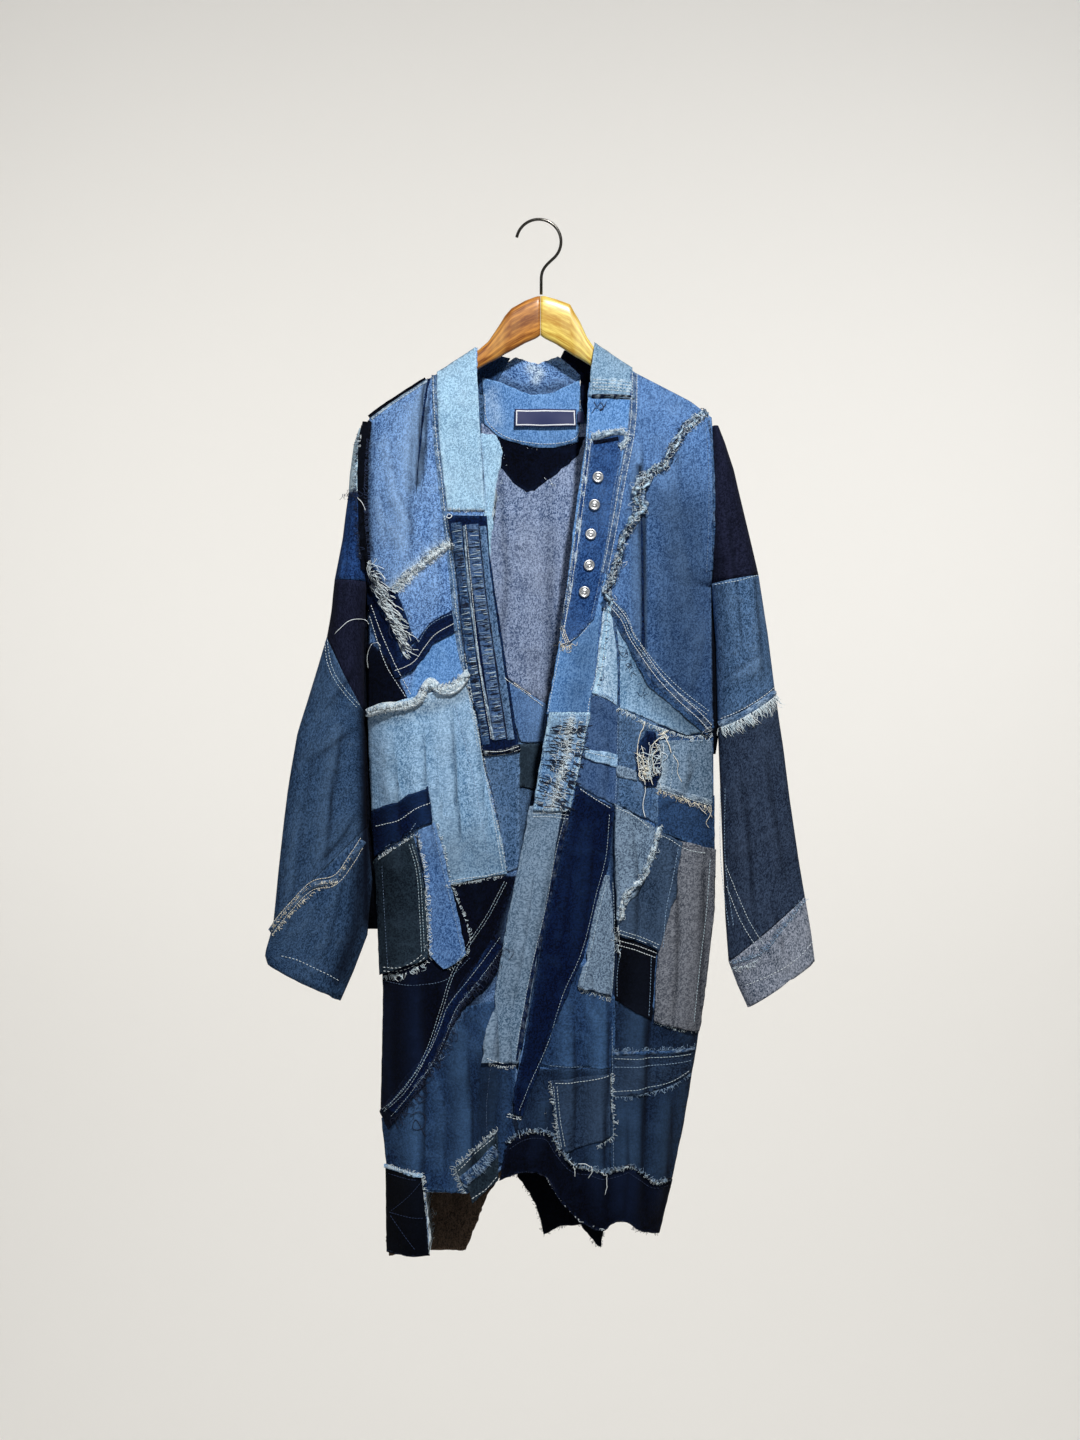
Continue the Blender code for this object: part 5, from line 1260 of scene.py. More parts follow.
def fray(path, reach, turn, every, low, high, kind="white", wild=35, curl=0.35, radius=0.27, rise=1.2,
         root=0.0, side="front", lift=0.3):
    """Loose cross threads along a path, about reach long and every so far apart. turn is their way in
    degrees from the path, to its right, and wild how much that varies. Tones lie between low and high."""
    spots, across, s = smooth_path(path, 0.8)
    count = max(1, int(s[-1] / every))
    at = np.sort(chance.uniform(0, s[-1], count))
    x, z = np.interp(at, s, spots[:, 0]), np.interp(at, s, spots[:, 1])
    ax, az = np.interp(at, s, across[:, 0]), np.interp(at, s, across[:, 1])
    x, z = x + ax * root, z + az * root
    angle = np.radians(turn - 90 + chance.normal(0, wild, count))
    dx, dz = ax * np.cos(angle) + az * np.sin(angle), az * np.cos(angle) - ax * np.sin(angle)
    long = reach * (0.3 + 0.9 * chance.random(count) ** 1.6)
    bow = chance.normal(0, curl, count) * long
    t = np.linspace(0, 1, 5)[None, :]
    bend = np.sin(math.pi * t * 0.9) * bow[:, None]
    px = x[:, None] + dx[:, None] * long[:, None] * t - dz[:, None] * bend
    pz = z[:, None] + dz[:, None] * long[:, None] * t + dx[:, None] * bend
    up = lift + np.abs(chance.normal(0.5, 0.5, count))[:, None] * rise * np.sin(math.pi * t * 0.8)
    places = on_cloth(px, pz, up, side)
    THREADS["frays", kind] += [Thread(p, radius, chance.uniform(low, high)) for p in places]


def loose(path, kind="white", radius=0.4, tone=0.9, lift=0.8):
    """One long loose thread."""
    spots, _, s = smooth_path(path, 2.0)
    up = lift + 0.5 * np.sin(s / 6.0)
    THREADS["frays", kind].append(Thread(on_cloth(spots[:, 0], spots[:, 1], up), radius, tone))


# %% [markdown]
# ## Small pieces of the left front
# Between the large pieces lie narrow ones: a black torn strip at the armhole, a strip shredded to its
# white weft, a dark triangle, the pale facing that shows inside the opening, the welts of the
# waistband, and two felled seams.

# %% Small pieces of the left front
lay_left("facing_pale_left", -0.6, "ice_blue", [(-74, -257, -50, -262), (-68, -281, -43, -281),
    (-66, -328, -52, -328), (-64, -407, -58, -407), (-66, -455, -61, -455)], raw=1.3)
lay_left("navy_triangle_left", 1.2, "dark_navy", [(-SIDE, -507, -198, -507), (-SIDE, -530, -172, -532),
    (-SIDE, -560, -160, -562), (-SIDE, -590, -150, -582)])
lay_left("seam_strip_left", 0.7, "deep_navy", [(-205, -424, -200, -426), (-205, -460, -184, -464),
    (-196, -492, -168, -498), (-184, -528, -160, -532), (-173, -556, -166, -560)], raw=0.4)
lay_left("shredded_strip_left", 1.0, "deep_navy", [(-206, -398, -204, -398), (-206, -430, -188, -432),
    (-196, -452, -166, -450), (-176, -490, -150, -496), (-162, -514, -143, -505)], raw=1.2)
skin = cloth_tree()
strip("armhole_strip_black", 12, "black", 2.6, 1.4, 0.0, [-206, -242, -209, -280, -209, -330, -208, -380,
    -206, -420], pitch=9)
strip("shoulder_edge_left", 5, "black", -1.5, 0.8, 0.0, [-136, -190, -152, -200, -170, -212, -188, -224,
    -204, -236], pitch=5)
strip("shoulder_piping_left", 4, "grey_blue", 1.0, 0.1, 0.5, [-134, -192, -150, -203, -167, -214,
    -185, -226, -201, -238])
# A thin deep-navy strip paints the shade inside the pleat below the left shoulder.
strip("pleat_left", 3.4, "deep_navy", 0.25, 0.05, 0.0, [-132, -190, -136, -230, -141, -280, -146, -335],
    taper=0.8)
strip("selvedge_left", 7, "steel_blue", 0.6, 0.15, 0.35, [-125, -186, -124, -220, -122, -263, -117, -310,
    -112, -352, -104, -420, -92, -520, -82, -560])
strip("bleached_ridge_left", 6, "bleached", 1.6, 1.6, 1.0, [-172, -447, -158, -428, -140, -416, -120, -400,
    -106, -389], pitch=3.5)
strip("waistband_welt_b", 14, "mid_blue", 1.0, 0.7, 0.1, [-79, -368, -73, -430, -61, -520, -46, -622],
    pitch=4.4)
strip("waistband_welt_c", 12, "night_blue", 0.8, 0.6, 0.05, [-98, -366, -92, -430, -81, -520, -64, -628],
    pitch=4.4)
strip("waistband_welt_a", 2.8, "grey_blue", 1.8, 0.9, 0.7, [-89, -370, -83, -440, -71, -530, -54, -622],
    pitch=4.4)
strip("waistband_welt_d", 8, "steel_blue", 0.9, 0.2, 0.05, [-67, -370, -61, -430, -48, -520, -33, -622],
    pitch=5)
strip("waistband_end_left", 7, "dark_navy", 1.2, 0.2, 0.4, [-67, -638, -46, -637, -22, -631])
strip("ruffle_left", 9.5, "bleached", 4.4, 1.8, 0.9, [-203, -589, -190, -584, -172, -582, -156, -581,
    -143, -575, -136, -563, -128, -553, -118, -561, -106, -563, -95, -557, -88, -547, -83, -543], pitch=4.5)
strip("ruffle_lip_left", 4, "bleached", 5.0, 1.6, 1.0, [-203, -594, -188, -589, -172, -587, -156, -585,
    -145, -580, -137, -568, -128, -558, -118, -566, -106, -568, -94, -562, -84, -550], pitch=3.5)
strip("felled_seam_left", 15, "deep_navy", 1.2, 0.4, 0.0, [-50, -862, -72, -898, -96, -932, -112, -958,
    -122, -984, -148, -1026, -176, -1062], pitch=5)
strip("cord_corner_left", 4, "sky_blue", 1.6, 0.6, 0.4, [-186, -1133, -160, -1134, -138, -1136], pitch=5)
strip("waistband_hem_welt", 14, "night_blue", 1.0, 1.0, 0.4, [-90, -1142, -72, -1128, -50, -1104],
    pitch=3.2)
strip("sleeve_seam_left", 7, "sleeve_indigo", 1.4, 0.5, 0.15, [-322, -852, -296, -822, -266, -795,
    -246, -791, -226, -765, -210, -744], pitch=5)
print("small pieces of the left front are on")

# %% [markdown]
# ## Small pieces of the right front
# The lower half of the right front is darker than its shoulder, partly from darker cloth and partly as
# painted shade where the light from above falls off, so it gets its own cloths: blue ones beside the gathered
# band, a dark one at the side, two at the hem. A thick torn rope of selvedge runs from the shoulder to the
# curved strip.

# %% Small pieces of the right front
lay_right("panel_blue_right", 0.5, "mid_blue", [(62, -570, 94, -576), (54, -620, 94, -620),
    (44, -676, 92, -700)])
lay_right("gathered_right", 0.6, "steel_blue", [(93, -584, 140, -604), (94, -640, 142, -640),
    (92, -700, 140, -722)],
    shape=lambda x, z, inset: 1.4 * np.abs(np.sin((x + 0.12 * z) / 5.2)) * np.clip(inset / 6, 0, 1))
lay_right("side_dark_right", 0.7, "night_blue", [(124, -672, SIDE, -690), (136, -720, SIDE, -724),
    (138, -728, SIDE, -760)])
lay_right("panel_mid_right", 0.6, "night_blue", [(45, -884, 90, -926), (20, -948, 90, -960),
    (-2, -1006, 90, -1010)])
lay_right("panel_side_right", 0.5, "midnight_blue", [(88, -930, SIDE, -950), (86, -1000, SIDE, -1000),
    (84, -1060, SIDE, -1060), (84, -1140, SIDE, -1150)])
lay_right("panel_low_right", 0.4, "midnight_blue", [(-14, -1010, 88, -1010), (-30, -1060, 88, -1060),
    (-14, -1120, 88, -1130)])
lay_right("pocket_right_light", 3.4, "grey_blue", [(89, -697, 140, -727), (91, -745, 134, -752),
    (92, -779, 122, -790), (93, -815, 100, -818), (94, -838, 96, -838)], raw=1.0)
lay_right("strip_light_a", 1.4, "sky_blue", [(54, -632, 93, -640), (53, -644, 93, -655)], raw=1.0)
lay_right("strip_light_b", 1.6, "grey_blue", [(92, -653, 116, -658), (92, -666, 116, -672)], raw=1.2)
lay_right("rip_shadow", 2.2, "deep_navy", [(124, -612, 136, -612), (116, -632, 144, -630),
    (116, -660, 144, -662), (122, -676, 138, -678)], raw=1.5)
skin = cloth_tree()
strip("selvedge_right", 9, "mid_blue", 0.7, 0.15, 0.3, [113, -184, 109, -256, 97, -319, 85, -384, 77, -425])
strip("placket_edge", 6, "raw_indigo", 1.0, 0.5, 0.8, [60, -266, 51, -340, 43, -398, 37, -440, 27, -490],
    pitch=6)
strip("placket_top", 8, "grey_blue", 1.6, 1.5, 0.8, [62, -265, 74, -262, 86, -259, 100, -258], pitch=6)
strip("placket_shadow", 5, "dark_navy", 0.6, 0.1, 0.0, [64, -271, 76, -269, 94, -266])
strip("placket_corner", 5, "grey_blue", 1.8, 0.8, 0.8, [98, -256, 103, -266, 95, -276], pitch=6)
strip("tucks_right", 15, "tuck_blue", 0.9, 0.2, 0.5, [63, -200, 86, -201, 110, -203])
strip("tuck_shadow_right", 5, "dark_navy", 0.8, 0.2, 0.4, [62, -216, 86, -216, 110, -217])
strip("armhole_piping_right", 3, "night_blue", 1.0, 0.1, 0.1, [203, -240, 206, -280, 207, -330, 207, -380,
    206, -420])
strip("curved_hem_right", 11, "night_blue", 1.0, 0.2, 0.15, [76, -458, 92, -476, 100, -494, 118, -520,
    138, -550, 164, -574, 186, -592, 204, -607])
strip("gusset_seam", 3, "night_blue", 0.5, 0.2, 0.1, [87, -470, 93, -520, 94, -588])
strip("gusset_edge", 8, "ice_blue", 0.7, 0.7, 0.3, [84, -458, 81, -480, 76, -515, 71, -545, 66, -568],
    pitch=5)
rope = [201, -230, 189, -238, 176, -250, 164, -266, 155, -284, 149, -297, 136, -303, 123, -316, 117, -333,
    119, -350, 112, -364, 102, -378, 97, -398, 91, -416, 86, -434, 79, -446, 84, -458]
# A thin deep-navy strip paints the shade inside the long pleat of the right front.
strip("pleat_right", 3.4, "deep_navy", 0.25, 0.05, 0.0, [123, -517, 122, -440, 120, -340, 119, -318],
    taper=0.5)
ROPE_STRANDS = [("deep_navy", 3.0, 4.1, 1.2), ("night_blue", 3.6, 0.0, 2.6), ("steel_blue", 3.4, 2.2, 3.6),
                ("night_blue", 3.4, 1.2, 3.8), ("ice_blue", 2.2, 5.4, 4.2)]

twist("torn_rope", rope, ROPE_STRANDS)
strip("grey_strip_seam", 6, "deep_navy", 0.5, 0.1, 0.1, [36, -702, 22, -760, 9, -822, -8, -900, -25, -1000])
strip("ripped_hem_right", 7, "grey_blue", 1.0, 0.6, 0.5, [139, -676, 160, -684, 186, -692, 205, -698],
    pitch=6)
cord = [143, -725, 137, -740, 135, -752, 128, -772, 122, -786, 108, -797, 99, -812, 95, -834]
twist("pocket_cord_right", cord, [("night_blue", 2.0, 1.0, 1.0), ("bleached", 1.6, 0.0, 2.2),
    ("grey_blue", 1.6, 3.1, 2.6)])
strip("mottled_band_top", 4, "night_blue", 0.9, 0.4, 0.3, [86, -993, 110, -990, 136, -991, 186, -992])
strip("hem_roll_right", 4, "dark_navy", 1.4, 1.0, 0.25, HEM_TOP)
strip("sleeve_hem_right", 7, "steel_blue", 1.2, 0.4, 0.35, [216, -604, 238, -594, 262, -580, 283, -565],
    pitch=5)
print("small pieces of the right front are on")

# %% [markdown]
# ## Inside the back
# Through the opening the inner face of the back shows: a seam with a pale edge, a dark piece under the
# neck facing, and two small pieces lower down.

# %% Inside the back
# The dark piece is dark cloth; its near-black colour also paints the shade that falls under the facing.
inside("inner_dark", -0.8, "dark_navy", [(-64, -256, 56, -256), (-52, -286, 46, -280),
    (-30, -314, 14, -306), (-16, -322, -6, -320)], raw=1.0)
inside("inner_pale", -0.7, "inner_heather", [(-70, -240, 62, -240), (-64, -400, 40, -400),
    (-50, -540, 14, -572), (-42, -546, 8, -580)])
inside("inner_blue", -0.9, "shoulder_blue", [(-48, -546, 12, -582), (-30, -600, 6, -624),
    (-22, -626, 2, -626)], raw=1.0)
inside("inner_olive", -0.9, "green_black", [(-28, -628, 4, -628), (-24, -680, -2, -684)], raw=1.0)
skin = cloth_tree()

# %% [markdown]
# ## Label
# A woven label: navy satin with a white woven border. A smaller plain tab of the same cloth hangs beside it.

# %% Label
def label_finish():
    made, tree, shader = new_finish("woven_label_navy", 0.6)
    cut = add(tree, "UVMap", {"uv_map": "cut"}).outputs["UV"]
    parts = add(tree, "SeparateXYZ", {}, {"Vector": cut})
    rim = None
    for key, half in (("X", 37.5), ("Y", 10.5)):
        off = add(tree, "Math", {"operation": "ABSOLUTE"}, {0: parts.outputs[key]})
        inner = add(tree, "Math", {"operation": "GREATER_THAN", 1: (half - 3.0) * MM}, {0: off.outputs[0]})
        outer = add(tree, "Math", {"operation": "LESS_THAN", 1: (half - 1.7) * MM}, {0: off.outputs[0]})
        rim = (inner, outer) if rim is None else rim + (inner, outer)
    line = add(tree, "Math", {"operation": "MAXIMUM"}, {0: rim[0].outputs[0], 1: rim[2].outputs[0]})
    within = add(tree, "Math", {"operation": "MINIMUM"}, {0: rim[1].outputs[0], 1: rim[3].outputs[0]})
    line = add(tree, "Math", {"operation": "MULTIPLY"}, {0: line.outputs[0], 1: within.outputs[0]})
    navy = add(tree, "MixRGB", {"Color1": colour("1d2858"), "Color2": colour("e8ecf2")},
               {"Fac": line.outputs[0]})
    tree.links.new(navy.outputs[0], shader.inputs["Base Color"])
    return made


def make_label(name, left, right, low, high):
    x, z = np.meshgrid(np.linspace(left, right, 26), np.linspace(low, high, 9))
    places = lie("back", x, z, -3.2 * LAYER - CLOTH)
    mesh = grid_mesh(name, places)
    fill_cut(mesh, (x.ravel() - 7.5) * MM, (z.ravel() + 233.5) * MM, 0)
    return show(name + "_woven", mesh, WOVEN_NAVY, name, thick=0.6)


WOVEN_NAVY = label_finish()
make_label("label", -30, 45, -244, -223)
make_label("size_tab", 46.6, 54.2, -239, -226)

# %% [markdown]
# ## Stitching
# The old seams kept their top-stitching, in white, pale blue or cream, single or double, and each new
# patch was sewn down near its edge. The rows below follow the seams of the pieces above.

# %% Stitching of the left side
stitch([-127, -187, -125, -220, -122, -263, -116, -310, -112, -352], 0.7, 1.0)
stitch([-110, -356, -101, -420, -92, -500, -80, -573, -70, -632], 0.3, 0.8, rows=(-1, 2.5))
stitch([-134, -193, -150, -204, -167, -215, -185, -227, -202, -239], 0.6, 1.0)
stitch([-70, -250, -66, -300, -62, -350], 0.7, 1.0, "blue")
stitch([-106, -357, -66, -357], 0.5, 1.0, "blue")
stitch([-87, -368, -80, -440, -71, -530, -56, -624], 0.5, 1.0, pitch=3.0)
stitch([-71, -368, -65, -430, -53, -520, -38, -622], 0.0, 0.4, "navy", pitch=3.0, radius=0.6)
stitch([-65, -638, -44, -638, -23, -632], 0.8, 1.0, rows=(-2, 2), pitch=2.8)
stitch([-172, -541, -160, -537, -149, -531, -136, -514, -124, -499, -101, -485], 0.85, 1.0, pitch=2.7)
stitch([-143, -508, -130, -488, -114, -478, -101, -473], 0.4, 0.8, "blue")
stitch([-203, -474, -197, -492, -191, -510, -179, -539, -168, -556, -157, -573], 0.6, 1.0)
stitch([-201, -461, -186, -500, -167, -540, -151, -570], 0.7, 1.0)
stitch([-80, -566, -66, -650, -56, -703, -43, -776], 0.4, 0.8)
stitch([-108, -789, -90, -786, -54, -781, -40, -777], 0.7, 1.0)
stitch([-100, -580, -84, -640, -70, -704, -58, -780], 0.6, 1.0, "blue")
stitch([-196, -726, -181, -722, -167, -718, -144, -703, -126, -696], 0.6, 0.95)
stitch([-194, -760, -176, -746, -161, -741, -145, -720], 0.4, 0.9, "blue")
stitch([-187, -772, -184, -830, -180, -894], 0.1, 0.5, "blue", radius=0.34)
stitch([-150, -744, -143, -767, -137, -832, -135, -874], 0.0, 0.6, rows=(0, 3.5), radius=0.34)
stitch([-187, -894, -166, -892, -150, -885, -136, -874], 0.6, 1.0, rows=(0, 4.5), pitch=5.0, length=3.0)
stitch([-125, -724, -112, -780, -100, -830, -90, -874], 0.5, 1.0, "blue")
stitch([-42, -858, -64, -888, -85, -915, -103, -938, -112, -962, -124, -990, -150, -1028, -181, -1068], 0.0,
    0.6, rows=(-5, 5), radius=0.32)
stitch([-38, -790, -60, -832, -85, -870, -103, -905, -112, -935, -134, -997, -160, -1040, -186, -1067], 0.0,
    0.6, rows=(0, 3), radius=0.32)
stitch([-186, -911, -150, -912, -110, -905, -80, -878], 0.1, 0.5, "blue", radius=0.3)
stitch([-181, -1141, -142, -1141], 0.8, 1.0, "navy")
stitch([-138, -1142, -158, -1166, -179, -1187], 0.8, 1.0, "navy")
stitch([-178, -1190, -162, -1208, -146, -1226], 0.8, 1.0, "navy")
stitch([-180, -1187, -134, -1187], 0.7, 1.0, "navy")
stitch([-96, -1130, -74, -1108, -50, -1087], 0.6, 1.0, pitch=4.5, length=3)
stitch([-80, -1164, -62, -1152, -50, -1138], 0.6, 1.0, pitch=4.5, length=3)
stitch([-60, -1106, -62, -1060, -56, -1000, -48, -950], 0.0, 0.3, "blue", radius=0.34)
stitch([-253, -503, -246, -536, -232, -560, -212, -584], 0.2, 0.7, rows=(0, 4), radius=0.36)
stitch([-322, -846, -296, -816, -266, -789, -246, -785, -224, -757, -212, -738], 0.6, 1.0, "cream",
    pitch=3.0)
stitch([-320, -857, -296, -827, -266, -800, -246, -797, -222, -771, -210, -750], 0.5, 0.9, "cream",
    pitch=3.0)
stitch([-308, -880, -290, -884, -272, -892, -252, -902, -236, -912], 0.5, 0.9, pitch=4.5)
print("stitches on the left:", sum(len(t) for (use, _), t in THREADS.items() if use == "stitches"))

# %% Stitching of the right side
stitch([114, -184, 110, -256, 98, -319, 86, -384, 78, -424], 0.7, 1.0, rows=(-3, 3))
stitch([60, -266, 51, -340, 43, -398, 37, -440, 28, -490], 0.8, 1.0, rows=(-1.5, 3), pitch=3.0)
stitch([94, -300, 86, -340, 80, -389, 72, -431, 61, -479], 0.4, 0.8, "blue")
stitch([61, -484, 49, -498, 38, -505, 30, -511], 0.6, 1.0)
stitch([27, -487, 30, -498, 35, -510], 0.6, 1.0, "cream", rows=(-1.5, 0.5, 2.5), pitch=2.4, length=2.0,
    radius=0.5)
stitch([63, -196, 86, -197, 110, -199], 0.6, 0.95, rows=(0, 4, 8, 11.5))
stitch([59, -230, 55, -290, 44, -370, 31, -480, 10, -590], 0.4, 0.8)
stitch([82, -462, 98, -482, 106, -500, 120, -522, 142, -552, 166, -577, 190, -598, 204, -612], 0.85, 1.0,
    rows=(-6, 0.5), pitch=3.0)
stitch([88, -459, 104, -476, 112, -496, 130, -522, 150, -546, 172, -566, 205, -590], 0.2, 0.6, rows=(0, 5))
stitch([80, -466, 75, -515, 69, -550, 63, -568], 0.7, 1.0, rows=(-2, 3))
stitch([60, -572, 52, -625, 42, -672], 0.7, 1.0)
stitch([93, -600, 92, -650, 90, -695], 0.5, 0.9, "blue")
stitch([54, -636, 92, -645], 0.5, 0.9)
stitch([160, -628, 157, -660, 154, -684], 0.2, 0.6)
stitch([140, -680, 170, -690, 205, -701], 0.5, 0.9)
stitch([12, -594, 60, -594], 0.7, 1.0, "blue")
stitch([-8, -709, 14, -709, 37, -712], 0.5, 0.9, rows=(0, 4))
stitch([36, -704, 24, -750, 10, -822, -8, -900, -25, -992], 0.2, 0.7, rows=(3,), radius=0.34)
stitch([48, -680, 66, -692, 86, -704], 0.6, 1.0)
stitch([83, -710, 78, -764, 68, -802, 50, -872, 27, -925, 10, -980, -12, -1030, -24, -1060], 0.0, 0.5,
    radius=0.3)
stitch([-38, -1063, -28, -1066, -19, -1067], 0.7, 1.0, rows=(0, 3))
stitch([-62, -996, -46, -1002, -28, -1003], 0.6, 0.9)
stitch([90, -702, 112, -712, 132, -728], 0.6, 1.0)
stitch([142, -734, 156, -741, 170, -750, 200, -758], 0.4, 0.8)
stitch([164, -750, 157, -786, 150, -817, 146, -868], 0.6, 1.0, "blue")
stitch([94, -846, 118, -854, 142, -864], 0.4, 0.8, rows=(0, 4))
stitch([93, -860, 114, -866, 140, -876], 0.7, 1.0, rows=(-1.5, 4), pitch=3.2)
stitch([96, -868, 92, -900, 92, -926], 0.4, 0.8, "blue")
stitch([132, -876, 131, -910, 129, -948], 0.4, 0.8, "blue")
stitch([80, -788, 71, -821, 65, -851, 52, -908], 0.2, 0.6, radius=0.34)
stitch([87, -790, 89, -851, 86, -920], 0.2, 0.6, radius=0.34)
stitch([204, -765, 199, -827, 190, -900, 184, -960], 0.2, 0.5)
stitch([88, -998, 136, -997, 184, -998], 0.2, 0.6, radius=0.34)
stitch([88, -1037, 128, -1032, 154, -1028, 180, -1018], 0.2, 0.6, radius=0.34)
stitch([88, -1008, 136, -1006, 184, -1006], 0.5, 0.9, "blue")
stitch([19, -1030, 23, -1070, 29, -1104], 0.2, 0.6, rows=(-2, 2), radius=0.34)
stitch([18, -1027, 50, -1025, 82, -1018], 0.4, 0.8)
stitch(HEM_TOP, 0.5, 1.0, "navy", rows=(8,))
stitch([86, -960, 87, -1060, 88, -1130], 0.4, 0.8, "blue")
stitch([84, -1010, 50, -1008, 10, -1006], 0.5, 0.9, "blue")
stitch([216, -598, 238, -588, 262, -574, 283, -559], 0.7, 1.0)
stitch([208, -438, 236, -434, 262, -426], 0.3, 0.6)
stitch([222, -680, 223, -772, 232, -845], 0.5, 1.0, "blue", rows=(0, 5))
stitch([223, -772, 236, -806, 252, -842, 269, -869], 0.4, 0.8)
stitch([224, -797, 240, -838, 262, -875], 0.4, 0.8)
stitch([228, -890, 264, -877, 294, -843, 318, -815], 0.3, 0.7)
stitch([246, -916, 275, -903, 304, -886, 330, -863], 0.7, 1.0, pitch=4.5)
stitch([198, -244, 201, -300, 201, -360, 199, -425], 0.3, 0.6, "blue", radius=0.36)
print("stitches in all:", sum(len(t) for (use, _), t in THREADS.items() if use == "stitches"))

# %% [markdown]
# ## Stitching of the neck, the inside and the back
# The neck stand and the facing are bound, the seams inside show their pale raw side, and the back is
# stitched like the front along its four seams.

# %% Stitching of the neck, the inside and the back
stitch([-66, -204, -62, -238, -44, -254, -8, -263, 16, -264, 44, -257, 50, -208], 0.5, 1.0,
    lift=CLOTH + 0.6)
stitch([-42, -549, -17, -566, 7, -584], 0.8, 1.0, lift=CLOTH + 0.6, pitch=3.0)
for line in ([-190, -503, -42, -549, 8, -584, 60, -603, 190, -603],
             [-196, -643, -22, -629, 2, -628, 190, -663],
             [-180, -1046, -26, -1062, 20, -1056, 160, -1042]):
    stitch(line, 0.5, 1.0, rows=(-2, 4), side="back", pitch=4.0)
stitch([-146, -566, -34, -554], 0.5, 1.0, side="back", pitch=4.0)
stitch([-142, -694, -38, -706], 0.5, 1.0, side="back", pitch=4.0)
stitch([48, -730, 50, -846, 98, -870, 146, -842, 146, -722], 0.4, 0.9, "cream", side="back", pitch=4.0)

# %% [markdown]
# ## Frays
# Where denim is torn its blue warp drops away and the white weft stands out, so a raw edge ends in a
# pale brush. The worst is the hole in the grey patch, a nest of weft threads that nothing holds.

# %% Frays of the left side
for line, reach in (([-203, -589, -172, -584, -143, -577, -134, -562, -120, -562, -90, -549], 5),
                    ([-172, -447, -150, -424, -126, -403, -106, -389], 8)):
    fray(line, reach, 90, 0.45, 0.6, 1.0, rise=2.5, radius=0.36)
    fray(line, reach * 0.8, -90, 0.5, 0.5, 1.0, rise=2.5, radius=0.36)
    fray(line, reach * 0.9, -90, 1.6, 0.0, 0.6, "blue", rise=2.5, radius=0.4)
shred = [-204, -412, -200, -432, -190, -456, -178, -480, -164, -512]
fray(shred, 26, -28, 1.5, 0.0, 0.6, "navy", wild=14, rise=2.5, curl=0.15, radius=0.5)
fray(shred, 26, -28, 1.0, 0.5, 1.0, wild=14, rise=2.5, curl=0.12, radius=0.4)
fray(shred, 12, -80, 1.1, 0.4, 1.0, wild=40, rise=2.5, curl=0.4)
fray([-198, -420, -186, -446, -172, -478, -158, -508], 20, -12, 1.3, 0.5, 1.0, wild=14, rise=2.0, curl=0.15,
    radius=0.4)
fray([-205, -262, -207, -300, -207, -360, -203, -410], 7, -90, 0.9, 0.2, 1.0, "navy", rise=2.0)
fray([-213, -262, -216, -300, -215, -360, -211, -410], 6, 90, 0.9, 0.2, 1.0, "navy", rise=2.0)
fray([-211, -262, -213, -280], 5, 90, 1.6, 0.6, 1.0, rise=2.0)
fray([-236, -330, -228, -329, -215, -328], 8, 90, 0.6, 0.2, 1.0, "navy", rise=1.5)
fray([-108, -352, -86, -353, -66, -352], 4, -90, 0.8, 0.5, 1.0)
for line, half in (([-79, -372, -73, -430, -61, -520, -46, -620], 6),
                   ([-98, -370, -92, -430, -81, -520, -64, -624], 5)):
    for every, low, high, kind in ((4.0, 0.3, 1.0, "blue"), (2.4, 0.0, 0.5, "navy"),
                                   (9.0, 0.2, 0.7, "white")):
        fray(line, 2 * half, 90, every, low, high, kind, wild=5, curl=0.04, radius=0.5, rise=0.4, root=-half,
             lift=0.4)
for across in (-8, 0, 8):
    line = np.array([(-88, -1142), (-70, -1128), (-52, -1108)]) + (across / 3, across)
    fray(line, 7, 90, 2.0, 0.4, 1.0, "blue", wild=14, curl=0.2, radius=0.4, rise=0.5, root=-3, lift=0.4)
fray([-50, -262, -43, -281, -52, -328, -56, -360], 4, -90, 1.0, 0.4, 1.0, rise=0.8)
fray([-86, -553, -66, -649, -54, -704, -39, -778], 3, -90, 1.2, 0.4, 0.9, rise=0.5)
fray([-109, -793, -80, -789, -40, -781], 4, 90, 0.9, 0.4, 0.9, rise=0.6)
fray([-146, -735, -138, -767, -133, -821, -131, -880], 6, -90, 0.8, 0.5, 1.0)
fray([-186, -905, -160, -899, -131, -882], 7, 90, 0.8, 0.3, 1.0)
fray([-193, -767, -170, -751, -146, -735], 5, -90, 0.8, 0.5, 1.0)
fray([-121, -720, -104, -791, -87, -875, -107, -892], 4, -90, 1.2, 0.3, 0.8)
fray([-46, -868, -66, -902, -96, -938, -110, -968, -140, -1028, -172, -1074], 14, -50, 0.9, 0.1, 0.7,
    "navy", wild=30, curl=0.5)
fray([-62, -896, -96, -934, -112, -985, -150, -1032], 7, -60, 2.4, 0.0, 0.5, "blue", wild=40, curl=0.6)
fray([-139, -1137, -134, -1180, -130, -1231], 6, -90, 0.9, 0.3, 1.0)
fray([-181, -1233, -155, -1234, -130, -1232], 6, 90, 1.2, 0.2, 1.0, "navy")
fray([-181, -1134, -160, -1134, -138, -1136], 5, -90, 0.7, 0.5, 1.0)
fray([-98, -1126, -72, -1103, -48, -1082], 6, -90, 0.8, 0.4, 1.0)
fray([-98, -1126, -90, -1148, -79, -1170], 7, 90, 0.9, 0.2, 0.9)
fray([-129, -1156, -83, -1157], 5, 90, 1.6, 0.2, 0.8)
fray([-130, -1240, -90, -1241], 3, 90, 1.4, 0.0, 0.6, "navy", side="back")
fray([-320, -852, -296, -822, -266, -795, -246, -792, -224, -764], 3.5, -90, 1.6, 0.4, 1.0, "cream")
fray([-320, -858, -296, -829, -266, -802, -240, -790], 4, 90, 1.4, 0.3, 0.9, "cream")
